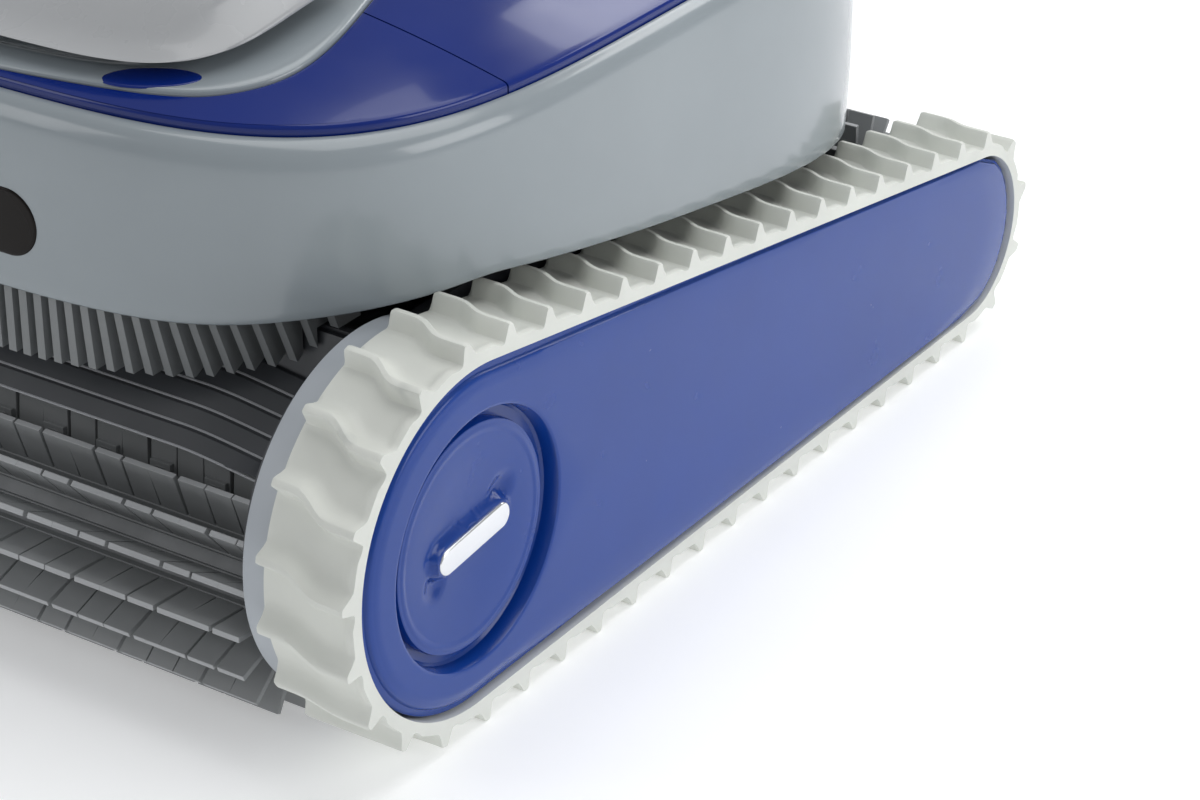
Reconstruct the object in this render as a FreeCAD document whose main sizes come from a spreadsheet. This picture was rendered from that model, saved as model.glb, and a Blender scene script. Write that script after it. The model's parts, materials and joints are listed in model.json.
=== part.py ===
import FreeCAD, Part
import math
import os

os.makedirs("parts", exist_ok=True)

Vector = FreeCAD.Vector
Rotation = FreeCAD.Rotation
Placement = FreeCAD.Placement

# Tracked pool cleaner. Millimetres, +Z up, the front faces -Y, and the origin is on
# the ground under the middle of the machine. A tall drive wheel at the front and a
# low idler at the rear carry each track, so the top run of the track slopes down.
document = FreeCAD.newDocument("PoolCleaner")
sheet = document.addObject("Spreadsheet::Sheet", "Sizes")

DRIVING_SIZES = {
    # tracks
    "half_width": 215.0,        # outer edge of a track from the middle plane
    "wheelbase": 359.0,         # front axle to rear axle, along Y
    "front_reach": 75.2,        # front axle to a cleat tip, so also the axle height
    "rear_reach": 46.5,         # rear axle to a cleat tip
    "cleat_height": 6.8,
    "belt_base": 4.0,
    "belt_width": 36.9,
    "cleat_count": 45,
    "belt_slack": 0.4,          # wheel to belt
    "panel_gap": 1.1,           # side panel to belt
    "panel_depth": 9.6,
    # wheels, side frames and gears
    "flange_inset": 47.0,       # outer edge of the track to the wheel's inner face
    "flange_radius": 66.6,
    "frame_plate": 4.0,
    "axle_radius": 6.0,
    "running_fit": 0.05,
    "gear_face": 7.0,
    # brushes
    "brush_radius": 41.6,
    "brush_core_radius": 17.0,
    "brush_forward": 20.3,      # front brush axis ahead of the front axle
    "brush_height": 42.0,
    # upper body
    "shell_half_width": 198.5,
    "shell_half_length": 200.0,
    "shell_top": 206.0,
    "shell_wall": 3.0,
    "crown_half_width": 186.0,
    "crown_half_length": 189.0,
    "crown_edge": 209.5,
    "crown_rise": 25.0,
    "lid_wall": 2.5,
    "lid_seam": 98.0,           # seam between front cover and filter lid, ahead of the middle
    "seam_gap": 0.6,
    # lower body
    "tub_half_width": 163.5,
    "tub_wall": 3.0,
    "tub_floor": 18.0,
    "tub_top": 130.0,
    "bottom_plate": 3.0,
    # hub caps
    "cap_radius": 42.0,
    "cap_thickness": 3.0,
}
for row, (name, value) in enumerate(DRIVING_SIZES.items(), start=1):
    sheet.set("A%d" % row, name)
    sheet.set("B%d" % row, "%g" % value)
    sheet.setAlias("B%d" % row, name)
document.recompute()


def size(name):
    return float(sheet.get(name))


# ---------------------------------------------------------------- derived places
HALF_WIDTH = size("half_width")
CLEAT = size("cleat_height")
BELT_BASE = size("belt_base")
FRONT_Z = size("front_reach")
REAR_Z = size("rear_reach")
FRONT_Y = -(size("wheelbase") + REAR_Z - FRONT_Z) / 2
REAR_Y = FRONT_Y + size("wheelbase")
FRONT_LOOP = FRONT_Z - CLEAT - BELT_BASE
REAR_LOOP = REAR_Z - CLEAT - BELT_BASE
FRONT_RIM = FRONT_LOOP - size("belt_slack")
REAR_RIM = REAR_LOOP - size("belt_slack")
BELT_INNER_X = HALF_WIDTH - size("belt_width")
WHEEL_INNER_X = HALF_WIDTH - size("flange_inset")
PANEL_INNER_X = HALF_WIDTH - size("panel_depth")
FRAME_INNER_X = size("tub_half_width")
FRAME_OUTER_X = FRAME_INNER_X + size("frame_plate")
AXLE = size("axle_radius")
FIT = size("running_fit")
FRONT_BRUSH_Y = FRONT_Y - size("brush_forward")
FRONT_BRUSH_Z = size("brush_height")
BRUSH_END_X = FRAME_INNER_X - 0.5
SIDES = {"right": 1, "left": -1}


# ---------------------------------------------------------------- helpers
def new_body(label):
    body = document.addObject("PartDesign::Body", "Body_" + label)
    body.Label = label
    return body


def origin_plane(body, role):
    return next(item for item in body.Origin.OriginFeatures if item.Role == role)


def sketch(body, role, curves, offset=0.0):
    """A sketch of the given curves on one of the body's own origin planes."""
    profile = body.newObject("Sketcher::SketchObject", "Profile_" + body.Label)
    profile.AttachmentSupport = (origin_plane(body, role), [""])
    profile.MapMode = "FlatFace"
    profile.AttachmentOffset = Placement(Vector(0, 0, offset), Rotation())
    profile.addGeometry(curves, False)
    return profile


def closed(points):
    """Straight edges through the points and back to the first."""
    corners = [Vector(a, b, 0) for a, b in points]
    return [
        Part.LineSegment(corners[index - 1], corners[index])
        for index in range(len(corners))
    ]


def rectangle(low_a, low_b, high_a, high_b):
    return closed([(low_a, low_b), (high_a, low_b), (high_a, high_b), (low_a, high_b)])


def circle(a, b, radius):
    return Part.Circle(Vector(a, b, 0), Vector(0, 0, 1), radius)


def polar(a, b, radius, degrees):
    angle = math.radians(degrees)
    return (a + radius * math.cos(angle), b + radius * math.sin(angle))


def arc_between(a, b, radius, start, end):
    points = [polar(a, b, radius, angle) for angle in (start, (start + end) / 2, end)]
    return Part.Arc(*[Vector(y, z, 0) for y, z in points])


def line_between(first, last):
    return Part.LineSegment(Vector(first[0], first[1], 0), Vector(last[0], last[1], 0))


def sector(a, b, inner, outer, start, end):
    """A piece of a ring, between two angles in degrees."""
    return [
        arc_between(a, b, outer, start, end),
        line_between(polar(a, b, outer, end), polar(a, b, inner, end)),
        arc_between(a, b, inner, start, end),
        line_between(polar(a, b, inner, start), polar(a, b, outer, start)),
    ]


def rounded_box(low_a, low_b, high_a, high_b, radius):
    corners = [
        (high_a - radius, high_b - radius, 0),
        (low_a + radius, high_b - radius, 90),
        (low_a + radius, low_b + radius, 180),
        (high_a - radius, low_b + radius, 270),
    ]
    edges = []
    for index, (a, b, start) in enumerate(corners):
        edges.append(arc_between(a, b, radius, start, start + 90))
        after = corners[(index + 1) % 4]
        edges.append(line_between(
            polar(a, b, radius, start + 90),
            polar(after[0], after[1], radius, after[2]),
        ))
    return edges


def pad(body, profile, length, midplane=False, backwards=False):
    """length is a number or an expression on the sheet."""
    feature = body.newObject("PartDesign::Pad", "Pad_" + body.Label)
    feature.Profile = profile
    feature.Midplane = midplane
    feature.Reversed = backwards
    set_length(feature, length)
    profile.Visibility = False
    return feature


def pocket(body, profile, length=None, backwards=False):
    feature = body.newObject("PartDesign::Pocket", "Pocket_" + body.Label)
    feature.Profile = profile
    feature.Reversed = backwards
    if length is None:
        feature.Type = "ThroughAll"
        feature.Midplane = True
    else:
        set_length(feature, length)
    return feature


def set_length(feature, length):
    if isinstance(length, str):
        feature.setExpression("Length", length)
    else:
        feature.Length = length


def slab(label, curves, low_x, length):
    """A plate whose outline lies in the YZ plane, padded towards +X from low_x."""
    body = new_body(label)
    pad(body, sketch(body, "YZ_Plane", curves), length)
    body.Placement = Placement(Vector(low_x, 0, 0), Rotation())
    return body


def turned(label, profiles, centre, axis="X"):
    """Outlines of (along, radius) points turned about X, or of (radius, along) about Z."""
    body = new_body(label)
    role = "XY_Plane" if axis == "X" else "XZ_Plane"
    for points in profiles:
        profile = sketch(body, role, closed(points))
        feature = body.newObject("PartDesign::Revolution", "Turn_" + label)
        feature.Profile = profile
        feature.ReferenceAxis = (profile, ["H_Axis" if axis == "X" else "V_Axis"])
        feature.Angle = 360
        body.Tip = feature
    body.Placement = Placement(Vector(*centre), Rotation())
    return body


def at_side(side, points):
    """Mirrors (along, radius) points for a piece of the left side."""
    return [(side * along, radius) for along, radius in points]


def side_start(side, low_x, length):
    """Where a slab of this side starts, given its low_x on the right side."""
    return low_x if side > 0 else -low_x - length


def feature(label, shape, place=(0, 0, 0)):
    item = document.addObject("Part::Feature", "Shape_" + label)
    item.Label = label
    item.Shape = shape
    item.Placement = Placement(Vector(*place), Rotation())
    return item


def box(low, high):
    corner = Vector(*low)
    extent = Vector(*high) - corner
    return Part.makeBox(extent.x, extent.y, extent.z, corner)


def rod(start, direction, radius, length):
    return Part.makeCylinder(radius, length, Vector(*start), Vector(*direction))


# ---------------------------------------------------------------- track path
AXLE_SLOPE = math.atan2(REAR_Z - FRONT_Z, size("wheelbase"))
TOP_ANGLE = math.degrees(2 * AXLE_SLOPE) + 90      # direction that the top run faces
AXLE_SPAN = math.hypot(size("wheelbase"), REAR_Z - FRONT_Z)
RUN = math.sqrt(AXLE_SPAN ** 2 - (FRONT_LOOP - REAR_LOOP) ** 2)
PITCH_OFFSET = BELT_BASE / 2
REAR_ARC = (REAR_LOOP + PITCH_OFFSET) * math.radians(TOP_ANGLE + 90)
FRONT_ARC = (FRONT_LOOP + PITCH_OFFSET) * math.radians(270 - TOP_ANGLE)
TRACK_LENGTH = 2 * RUN + REAR_ARC + FRONT_ARC


def track_point(distance, height):
    """(y, z) at a distance along the belt, and a height above its inner face."""
    distance %= TRACK_LENGTH
    if distance < RUN:
        return (FRONT_Y + distance, FRONT_Z - FRONT_LOOP - height)
    distance -= RUN
    if distance < REAR_ARC:
        angle = -90 + (TOP_ANGLE + 90) * distance / REAR_ARC
        return polar(REAR_Y, REAR_Z, REAR_LOOP + height, angle)
    distance -= REAR_ARC
    if distance < RUN:
        start = polar(REAR_Y, REAR_Z, REAR_LOOP + height, TOP_ANGLE)
        return polar(start[0], start[1], distance, TOP_ANGLE + 90)
    distance -= RUN
    angle = TOP_ANGLE + (270 - TOP_ANGLE) * distance / FRONT_ARC
    return polar(FRONT_Y, FRONT_Z, FRONT_LOOP + height, angle)


def stadium(front_radius, rear_radius):
    """A loop round both axles, with the front and rear radii given."""
    front = [polar(FRONT_Y, FRONT_Z, front_radius, angle) for angle in (TOP_ANGLE, 270)]
    rear = [polar(REAR_Y, REAR_Z, rear_radius, angle) for angle in (TOP_ANGLE, -90)]
    return [
        arc_between(FRONT_Y, FRONT_Z, front_radius, TOP_ANGLE, 270),
        line_between(front[1], rear[1]),
        arc_between(REAR_Y, REAR_Z, rear_radius, -90, TOP_ANGLE),
        line_between(rear[0], front[0]),
    ]


def cleated_outline():
    """The outside of the belt: round stretches between cleats with sloping flanks."""
    count = int(size("cleat_count"))
    pitch = TRACK_LENGTH / count
    root_half, tip_half = 4.6, 2.4
    first = -FRONT_Y            # one cleat stands on the ground right under the middle
    edges = []
    for index in range(count):
        middle = first + index * pitch
        foot = track_point(middle - root_half, BELT_BASE)
        tip_in = track_point(middle - tip_half, BELT_BASE + CLEAT)
        tip_out = track_point(middle + tip_half, BELT_BASE + CLEAT)
        heel = track_point(middle + root_half, BELT_BASE)
        halfway = track_point(middle + pitch / 2, BELT_BASE)
        following = track_point(middle + pitch - root_half, BELT_BASE)
        edges += [line_between(foot, tip_in), line_between(tip_in, tip_out)]
        edges.append(line_between(tip_out, heel))
        edges += curve_through(heel, halfway, following)
    return edges


def curve_through(first, middle, last):
    start, halfway, end = [Vector(y, z, 0) for y, z in (first, middle, last)]
    bow = (halfway - start).cross(end - start).Length / (end - start).Length
    if bow < 0.01:
        return [Part.LineSegment(start, end)]
    return [Part.Arc(start, halfway, end)]


# ---------------------------------------------------------------- gears
BRUSH_SPAN = math.hypot(size("brush_forward"), FRONT_Z - FRONT_BRUSH_Z)
WHEEL_TEETH, BRUSH_TEETH, PINION_TEETH = 36, 22, 24
GEAR_MODULE = 2 * BRUSH_SPAN / (WHEEL_TEETH + BRUSH_TEETH)
PINION_SPAN = GEAR_MODULE * (WHEEL_TEETH + PINION_TEETH) / 2
PINION_Y, PINION_Z = polar(FRONT_Y, FRONT_Z, PINION_SPAN, 20)
PRESSURE_ANGLE = math.radians(20)


def gear_outline(teeth, phase):
    """Involute teeth, short at the tip and with backlash; one tooth points along phase."""
    pitch_radius = GEAR_MODULE * teeth / 2
    base_radius = pitch_radius * math.cos(PRESSURE_ANGLE)
    root_radius = pitch_radius - 1.15 * GEAR_MODULE
    tip_radius = pitch_radius + 0.75 * GEAR_MODULE
    backlash = 0.16
    half_pitch = (math.pi / 2 - backlash / GEAR_MODULE) / teeth
    involute = math.tan(PRESSURE_ANGLE) - PRESSURE_ANGLE

    def half_angle(radius):
        slope = math.acos(min(1.0, base_radius / radius))
        return half_pitch + involute - (math.tan(slope) - slope)

    flank_start = max(base_radius, root_radius + 0.05)
    radii = [flank_start, (flank_start + tip_radius) / 2, tip_radius]
    flank = [(root_radius, half_angle(flank_start))]
    flank += [(radius, half_angle(radius)) for radius in radii]
    points = []
    for tooth in range(teeth):
        middle = math.radians(phase) + 2 * math.pi * tooth / teeth
        steps = [(radius, -angle) for radius, angle in flank]
        steps += [(radius, angle) for radius, angle in reversed(flank)]
        points += [
            (radius * math.cos(middle + angle), radius * math.sin(middle + angle))
            for radius, angle in steps
        ]
    return closed(points)


def gear(label, teeth, phase, centre, low_x, bore):
    body = new_body(label)
    outline = gear_outline(teeth, phase) + [circle(0, 0, bore)]
    pad(body, sketch(body, "YZ_Plane", outline), "Sizes.gear_face")
    body.Placement = Placement(Vector(low_x, centre[0], centre[1]), Rotation())
    return body


# ---------------------------------------------------------------- upper body surfaces
def oval(half_width, half_length, height, front_square, rear_square, count=32):
    """A squared oval in plan, as one smooth closed wire; corners differ front and rear."""
    points = []
    for index in range(count):
        turn = 2 * math.pi * index / count
        across, along = math.cos(turn), math.sin(turn)
        blend = (1 + along) / 2
        square = front_square + (rear_square - front_square) * blend
        points.append(Vector(
            half_width * math.copysign(abs(across) ** (2 / square), across),
            half_length * math.copysign(abs(along) ** (2 / square), along),
            height,
        ))
    curve = Part.BSplineCurve()
    curve.interpolate(Points=points, PeriodicFlag=True)
    return Part.Wire([curve.toShape()])


def smooth_loft(wires):
    return Part.makeLoft(wires, True, False, False)


def shell_solid(inset, bottom, top):
    """The outside of the shell, or its inside when inset by the wall."""
    wide = size("shell_half_width") - inset
    long = size("shell_half_length") - inset
    levels = [
        (bottom, 0.0, 1.0, 2.9, 3.7),
        (135.0, 0.0, 0.0, 3.1, 3.8),
        (170.0, 2.5, 0.0, 3.5, 3.9),
        (top - 9.0, 5.0, 1.5, 3.9, 3.9),
        (top, 9.0, 6.0, 3.9, 3.9),
    ]
    return smooth_loft([
        oval(wide - narrow, long - short, height, front, rear)
        for height, narrow, short, front, rear in levels
    ])


def crown_solid(inset, drop, bottom):
    """The domed top: its edge stands just above the shell's rim."""
    wide = size("crown_half_width") - inset
    long = size("crown_half_length") - inset
    wires = [oval(wide, long, bottom, 3.9, 3.9)]
    for share in (1.0, 0.86, 0.7, 0.5, 0.27):
        height = size("crown_edge") + size("crown_rise") * (1 - share ** 2) - drop
        wires.append(oval(wide * share, long * share, height, 3.9, 3.9))
    walls = Part.makeLoft(wires[:2], True, True)
    dome = smooth_loft(wires[1:])
    return walls.fuse(dome).removeSplitter()


DECK_MIDDLE_Y = -80.0


def deck_outline(grow, height):
    """Plan of the grey middle deck: broad at the front, narrowing to the rear."""
    half = [
        (0, -186), (34, -185), (73, -180), (98, -174), (114, -165), (125, -149),
        (127, -128), (121, -98), (108, -58), (88, -20), (56, 10), (20, 23),
    ]
    both = half + [(-x, y) for x, y in reversed(half[1:])]
    points = [
        Vector(x, y, height) + Vector(x, y - DECK_MIDDLE_Y, 0).normalize() * grow
        for x, y in both
    ]
    curve = Part.BSplineCurve()
    curve.interpolate(Points=points, PeriodicFlag=True)
    return Part.Wire([curve.toShape()])


def deck_prism(grow, low, high):
    return Part.Face(deck_outline(grow, low)).extrude(Vector(0, 0, high - low))


# ---------------------------------------------------------------- chassis tub
TUB = size("tub_half_width")
TUB_TOP = size("tub_top")
FLOOR = size("tub_floor")
WALL = size("tub_wall")
TUB_FRONT, TUB_REAR = -152.0, 146.0
TUB_SIDE = [
    (-134, FLOOR), (TUB_REAR, FLOOR), (TUB_REAR, TUB_TOP),
    (TUB_FRONT, TUB_TOP), (TUB_FRONT, 80), (-134, 56),
]
TUB_INSIDE = [
    (-134 + WALL, FLOOR + WALL), (TUB_REAR - WALL, FLOOR + WALL), (TUB_REAR - WALL, TUB_TOP + 1),
    (TUB_FRONT + WALL, TUB_TOP + 1), (TUB_FRONT + WALL, 81), (-134 + WALL, 57),
]
SLOT_ROWS = (24.0, 104.0)       # front edge of each suction slot
SLOT_DEPTH, SLOT_HALF_WIDTH = 24.0, 74.0

tub = new_body("chassis_tub")
pad(tub, sketch(tub, "YZ_Plane", closed(TUB_SIDE)), "2 * Sizes.tub_half_width", midplane=True)
hollow = pocket(tub, sketch(tub, "YZ_Plane", closed(TUB_INSIDE)), 2 * (TUB - WALL))
hollow.Midplane = True
for front in SLOT_ROWS:
    slot = rectangle(-SLOT_HALF_WIDTH, front, SLOT_HALF_WIDTH, front + SLOT_DEPTH)
    pocket(tub, sketch(tub, "XY_Plane", slot), 2 * (FLOOR + WALL)).Midplane = True

plate = new_body("bottom_plate")
plate_outline = rounded_box(-150, -122, 150, 138, 14)
for front in SLOT_ROWS:
    plate_outline += rectangle(-SLOT_HALF_WIDTH, front, SLOT_HALF_WIDTH, front + SLOT_DEPTH)
pad(plate, sketch(plate, "XY_Plane", plate_outline), "Sizes.bottom_plate")
PLATE_Z = FLOOR - size("bottom_plate")
plate.Placement = Placement(Vector(0, 0, PLATE_Z), Rotation())

# Suction flaps: hinged along their front edge on the tub's floor, they close by weight.
FLAP_THICKNESS, FLAP_PIN_RADIUS = 2.4, 1.6
FLAP_Z = FLOOR + WALL + 0.4
for number, front in enumerate(SLOT_ROWS, start=1):
    half = SLOT_HALF_WIDTH + 4
    leaf = box((-half, front - 4, FLAP_Z), (half, front + SLOT_DEPTH + 4, FLAP_Z + FLAP_THICKNESS))
    pin_z = FLAP_Z + FLAP_PIN_RADIUS
    spine = rod((-half - 5, front - 4, pin_z), (1, 0, 0), FLAP_PIN_RADIUS, 2 * half + 10)
    feature("suction_flap_%d" % number, leaf.fuse(spine).removeSplitter())
brackets = []
for front in SLOT_ROWS:
    for side in (1, -1):
        half = SLOT_HALF_WIDTH + 6
        low = min(side * half, side * (half + 3))
        ear = box((low, front - 8, FLOOR + WALL), (low + 3, front, FLOOR + WALL + 5))
        pin_z = FLAP_Z + FLAP_PIN_RADIUS
        hole = rod((low - 1, front - 4, pin_z), (1, 0, 0), FLAP_PIN_RADIUS + FIT, 5)
        brackets.append(ear.cut(hole))
feature("flap_brackets", Part.makeCompound(brackets))

# ---------------------------------------------------------------- side frames and tracks
ARCH_RADIUS = 65.5
AXLE_END_X = PANEL_INNER_X - 1.5
GEAR_X = WHEEL_INNER_X + 6.0
WEB_X = GEAR_X + size("gear_face") + 0.5
for name, side in SIDES.items():
    thickness = size("frame_plate")
    outline = stadium(ARCH_RADIUS, 33.0) + [
        circle(FRONT_Y, FRONT_Z, AXLE),
        circle(FRONT_BRUSH_Y, FRONT_BRUSH_Z, 5 + FIT),
        circle(PINION_Y, PINION_Z, 4 + FIT),
        circle(REAR_Y, REAR_Z, AXLE + FIT),
    ]
    frame = slab("side_frame_" + name, outline, side_start(side, FRAME_INNER_X, thickness),
                 "Sizes.frame_plate")
    arch = sector(FRONT_Y, FRONT_Z, ARCH_RADIUS - 3, ARCH_RADIUS, 64, 116)
    pad(frame, sketch(frame, "YZ_Plane", arch), 14.0 if side > 0 else 18.0, backwards=side > 0)

    axle = [(0, 0), (0, AXLE), (thickness, AXLE), (thickness, AXLE + 5), (thickness + 2, AXLE + 5),
            (thickness + 2, AXLE), (AXLE_END_X - FRAME_INNER_X, AXLE), (AXLE_END_X - FRAME_INNER_X, 0)]
    turned("front_axle_" + name, [at_side(side, axle)], (side * FRAME_INNER_X, FRONT_Y, FRONT_Z))

    belt_curves = cleated_outline() + stadium(FRONT_LOOP, REAR_LOOP)
    slab("track_belt_" + name, belt_curves, side_start(side, BELT_INNER_X, size("belt_width")),
         "Sizes.belt_width")

    # Side panel: fills the belt's loop on the outside, with a round recess for the cap.
    panel_front = FRONT_LOOP - size("panel_gap")
    panel_rear = REAR_LOOP - size("panel_gap")
    panel = slab("side_panel_" + name, stadium(panel_front, panel_rear),
                 side_start(side, PANEL_INNER_X, size("panel_depth")), "Sizes.panel_depth")
    recess_floor = 2.6
    recess = sketch(panel, "YZ_Plane", [circle(FRONT_Y + 2, FRONT_Z - 1, size("cap_radius") + 5)],
                    offset=recess_floor if side > 0 else size("panel_depth") - recess_floor)
    pocket(panel, recess, size("panel_depth"), backwards=side > 0)
    cap_hole = sketch(panel, "YZ_Plane", [circle(FRONT_Y, FRONT_Z, 9 + FIT)])
    pocket(panel, cap_hole)

    # Hub cap: a shallow disc with a raised grip bar, on a spigot through the panel.
    cap_x = PANEL_INNER_X + recess_floor + 0.4
    cap = turned("hub_cap_" + name, [at_side(side, [
        (-recess_floor - 1, 0), (-recess_floor - 1, 9), (0, 9), (0, size("cap_radius")),
        (size("cap_thickness"), size("cap_radius")), (2, 26), (2, 0)])],
        (side * cap_x, FRONT_Y, FRONT_Z))
    grip_height = 5.6
    bar = sketch(cap, "YZ_Plane", rounded_box(-22, -6.5, 22, 6.5, 6.4), offset=side * 1.0)
    pad(cap, bar, grip_height - 1.6, backwards=side < 0)
    badge_x = cap_x + grip_height - 0.6
    slab("hub_badge_" + name, [edge for edge in rounded_box(FRONT_Y - 20.5, FRONT_Z - 5,
         FRONT_Y + 20.5, FRONT_Z + 5, 4.9)], side_start(side, badge_x, 1.2), 1.2)

    # Drive wheel: rim under the belt, inner flange, web and hub.
    rim = [(0, 58), (0, size("flange_radius")), (BELT_INNER_X - 0.5 - WHEEL_INNER_X, size("flange_radius")),
           (BELT_INNER_X - 0.5 - WHEEL_INNER_X, FRONT_RIM), (PANEL_INNER_X - 1 - WHEEL_INNER_X, FRONT_RIM),
           (PANEL_INNER_X - 1 - WHEEL_INNER_X, 58), (WEB_X + 4 - WHEEL_INNER_X, 58),
           (WEB_X + 4 - WHEEL_INNER_X, 14), (PANEL_INNER_X - 5 - WHEEL_INNER_X, 14),
           (PANEL_INNER_X - 5 - WHEEL_INNER_X, 10), (WEB_X - WHEEL_INNER_X, 10),
           (WEB_X - WHEEL_INNER_X, 58)]
    turned("drive_wheel_" + name, [at_side(side, rim)], (side * WHEEL_INNER_X, FRONT_Y, FRONT_Z))
    bush = [(0, AXLE + FIT), (0, 10), (PANEL_INNER_X - 5 - WEB_X, 10),
            (PANEL_INNER_X - 5 - WEB_X, AXLE + FIT)]
    turned("wheel_bush_" + name, [at_side(side, bush)], (side * WEB_X, FRONT_Y, FRONT_Z))
    gear_low = side_start(side, GEAR_X, size("gear_face"))
    gear("drive_gear_" + name, WHEEL_TEETH, 20, (FRONT_Y, FRONT_Z), gear_low, AXLE + FIT + 0.5)
    pinion_phase = 200 + 180 / PINION_TEETH
    gear("motor_pinion_" + name, PINION_TEETH, pinion_phase, (PINION_Y, PINION_Z), gear_low, 4)

    # Drive motor inside the tub; its shaft carries the pinion through wall and frame.
    motor_length, motor_radius = 62.0, 20.0
    motor_x = TUB - WALL - 0.2
    turned("drive_motor_" + name, [at_side(side, [
        (-motor_length, 0), (-motor_length, 12), (-motor_length + 4, motor_radius),
        (0, motor_radius), (0, 4.6), (-6, 4.6), (-6, 0)])],
        (side * motor_x, PINION_Y, PINION_Z))
    shaft_length = GEAR_X + size("gear_face") - motor_x + 5
    turned("motor_shaft_" + name, [at_side(side, [(0, 0), (0, 4), (shaft_length, 4), (shaft_length, 0)])],
           (side * (motor_x - 5), PINION_Y, PINION_Z))

    # Rear idler under the low end of the belt.
    idler_x = BELT_INNER_X - 6
    idler = [(0, 30), (0, REAR_RIM + 1.5), (5.5, REAR_RIM + 1.5), (5.5, REAR_RIM),
             (PANEL_INNER_X - 1 - idler_x, REAR_RIM), (PANEL_INNER_X - 1 - idler_x, 30), (18, 30), (18, 11),
             (26, 11), (26, AXLE + (FIT if side > 0 else 0)), (10, AXLE + (FIT if side > 0 else 0)),
             (10, 11), (14, 11), (14, 30)]
    turned("rear_idler_" + name, [at_side(side, idler)], (side * idler_x, REAR_Y, REAR_Z))

# Motor shafts pass through the tub's side walls.
for side in (1, -1):
    hole = sketch(tub, "YZ_Plane", [circle(PINION_Y, PINION_Z, 4.5)], offset=side * (TUB - WALL - 1))
    pocket(tub, hole, 6.0, backwards=side > 0)

# ---------------------------------------------------------------- brushes
rear_axle_half = PANEL_INNER_X - 3
turned("rear_axle", [[(-rear_axle_half, 0), (-rear_axle_half, AXLE), (rear_axle_half, AXLE),
                      (rear_axle_half, 0)]], (0, REAR_Y, REAR_Z))
BRUSH_SHAFT_X = GEAR_X + size("gear_face")
turned("front_brush_shaft", [[(-FRAME_OUTER_X, 0), (-FRAME_OUTER_X, 5), (BRUSH_SHAFT_X, 5),
                              (BRUSH_SHAFT_X, 0)]], (0, FRONT_BRUSH_Y, FRONT_BRUSH_Z))
TOWARDS_BRUSH = math.degrees(math.atan2(FRONT_BRUSH_Z - FRONT_Z, FRONT_BRUSH_Y - FRONT_Y))
tooth_angle = 360 / WHEEL_TEETH
wheel_offset = (TOWARDS_BRUSH - 20) / tooth_angle
mesh_share = wheel_offset - math.floor(wheel_offset)
brush_phase = TOWARDS_BRUSH + 180 + (mesh_share + 0.5) * 360 / BRUSH_TEETH
gear("brush_gear", BRUSH_TEETH, brush_phase, (FRONT_BRUSH_Y, FRONT_BRUSH_Z), GEAR_X, 5)


def brush_sleeve(label, bore, y, z):
    """A tube with rows of fins along it, each row cut into tabs further out."""
    core = size("brush_core_radius")
    rows = 10
    edges = []
    half_fin = 2.2
    for row in range(rows):
        middle = 360 * row / rows
        foot = math.degrees(half_fin / core)
        tip = math.degrees(half_fin / size("brush_radius"))
        edges.append(line_between(polar(0, 0, core, middle - foot),
                                  polar(0, 0, size("brush_radius"), middle - tip)))
        edges.append(line_between(polar(0, 0, size("brush_radius"), middle - tip),
                                  polar(0, 0, size("brush_radius"), middle + tip)))
        edges.append(line_between(polar(0, 0, size("brush_radius"), middle + tip),
                                  polar(0, 0, core, middle + foot)))
        edges.append(arc_between(0, 0, core, middle + foot, middle + 360 / rows - foot))
    body = new_body(label)
    outline = edges + [circle(0, 0, core - 2.5)]
    pad(body, sketch(body, "YZ_Plane", outline), 2 * BRUSH_END_X, midplane=True)
    body.Placement = Placement(Vector(0, y, z), Rotation())
    turned(label.replace("sleeve", "core"), [[
        (-BRUSH_END_X, bore), (-BRUSH_END_X, core - 2.5), (BRUSH_END_X, core - 2.5), (BRUSH_END_X, bore)]],
        (0, y, z))


brush_sleeve("front_brush_sleeve", 5, FRONT_BRUSH_Y, FRONT_BRUSH_Z)
brush_sleeve("rear_brush_sleeve", AXLE, REAR_Y, REAR_Z)

# ---------------------------------------------------------------- shrouds and grille
STEPS, STEP_LOW, STEP_HIGH, STEP_FRONT, STEP_BACK = 5, 86.5, 112.0, -187.0, -155.0
front_edge = [(-181.0, 85.2)]
for step in range(STEPS):
    low, high = [STEP_LOW + (STEP_HIGH - STEP_LOW) * (step + part) / STEPS for part in (0, 1)]
    near, far = [STEP_FRONT + (STEP_BACK - STEP_FRONT) * (step + part) / STEPS for part in (0, 0.75)]
    front_edge += [(near, low), (far, high)]
front_edge += [(STEP_BACK, STEP_HIGH), (STEP_BACK + 0.8, 129.0), (TUB_FRONT, 129.0), (TUB_FRONT, 85.2)]
shroud = new_body("front_shroud")
pad(shroud, sketch(shroud, "YZ_Plane", closed(front_edge)), "2 * Sizes.tub_half_width", midplane=True)
rear_edge = [(TUB_REAR, 93), (178, 91), (196, 91), (200, 93), (194, 96.5), (168, 98.5), (TUB_REAR, 99)]
shroud = new_body("rear_shroud")
pad(shroud, sketch(shroud, "YZ_Plane", closed(rear_edge)), "2 * Sizes.tub_half_width", midplane=True)


def grille_front(x, recess):
    """Where the fins' front edges lie at x; recess is their set-back near the ends."""
    wide, long, square = 178.0, 196.0, 3.3
    share = min(1.0, max(0.0, (abs(x) - 45) / 85))
    set_back = recess * share * share * (3 - 2 * share)
    return set_back - long * (1 - (abs(x) / wide) ** square) ** (1 / square)


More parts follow.
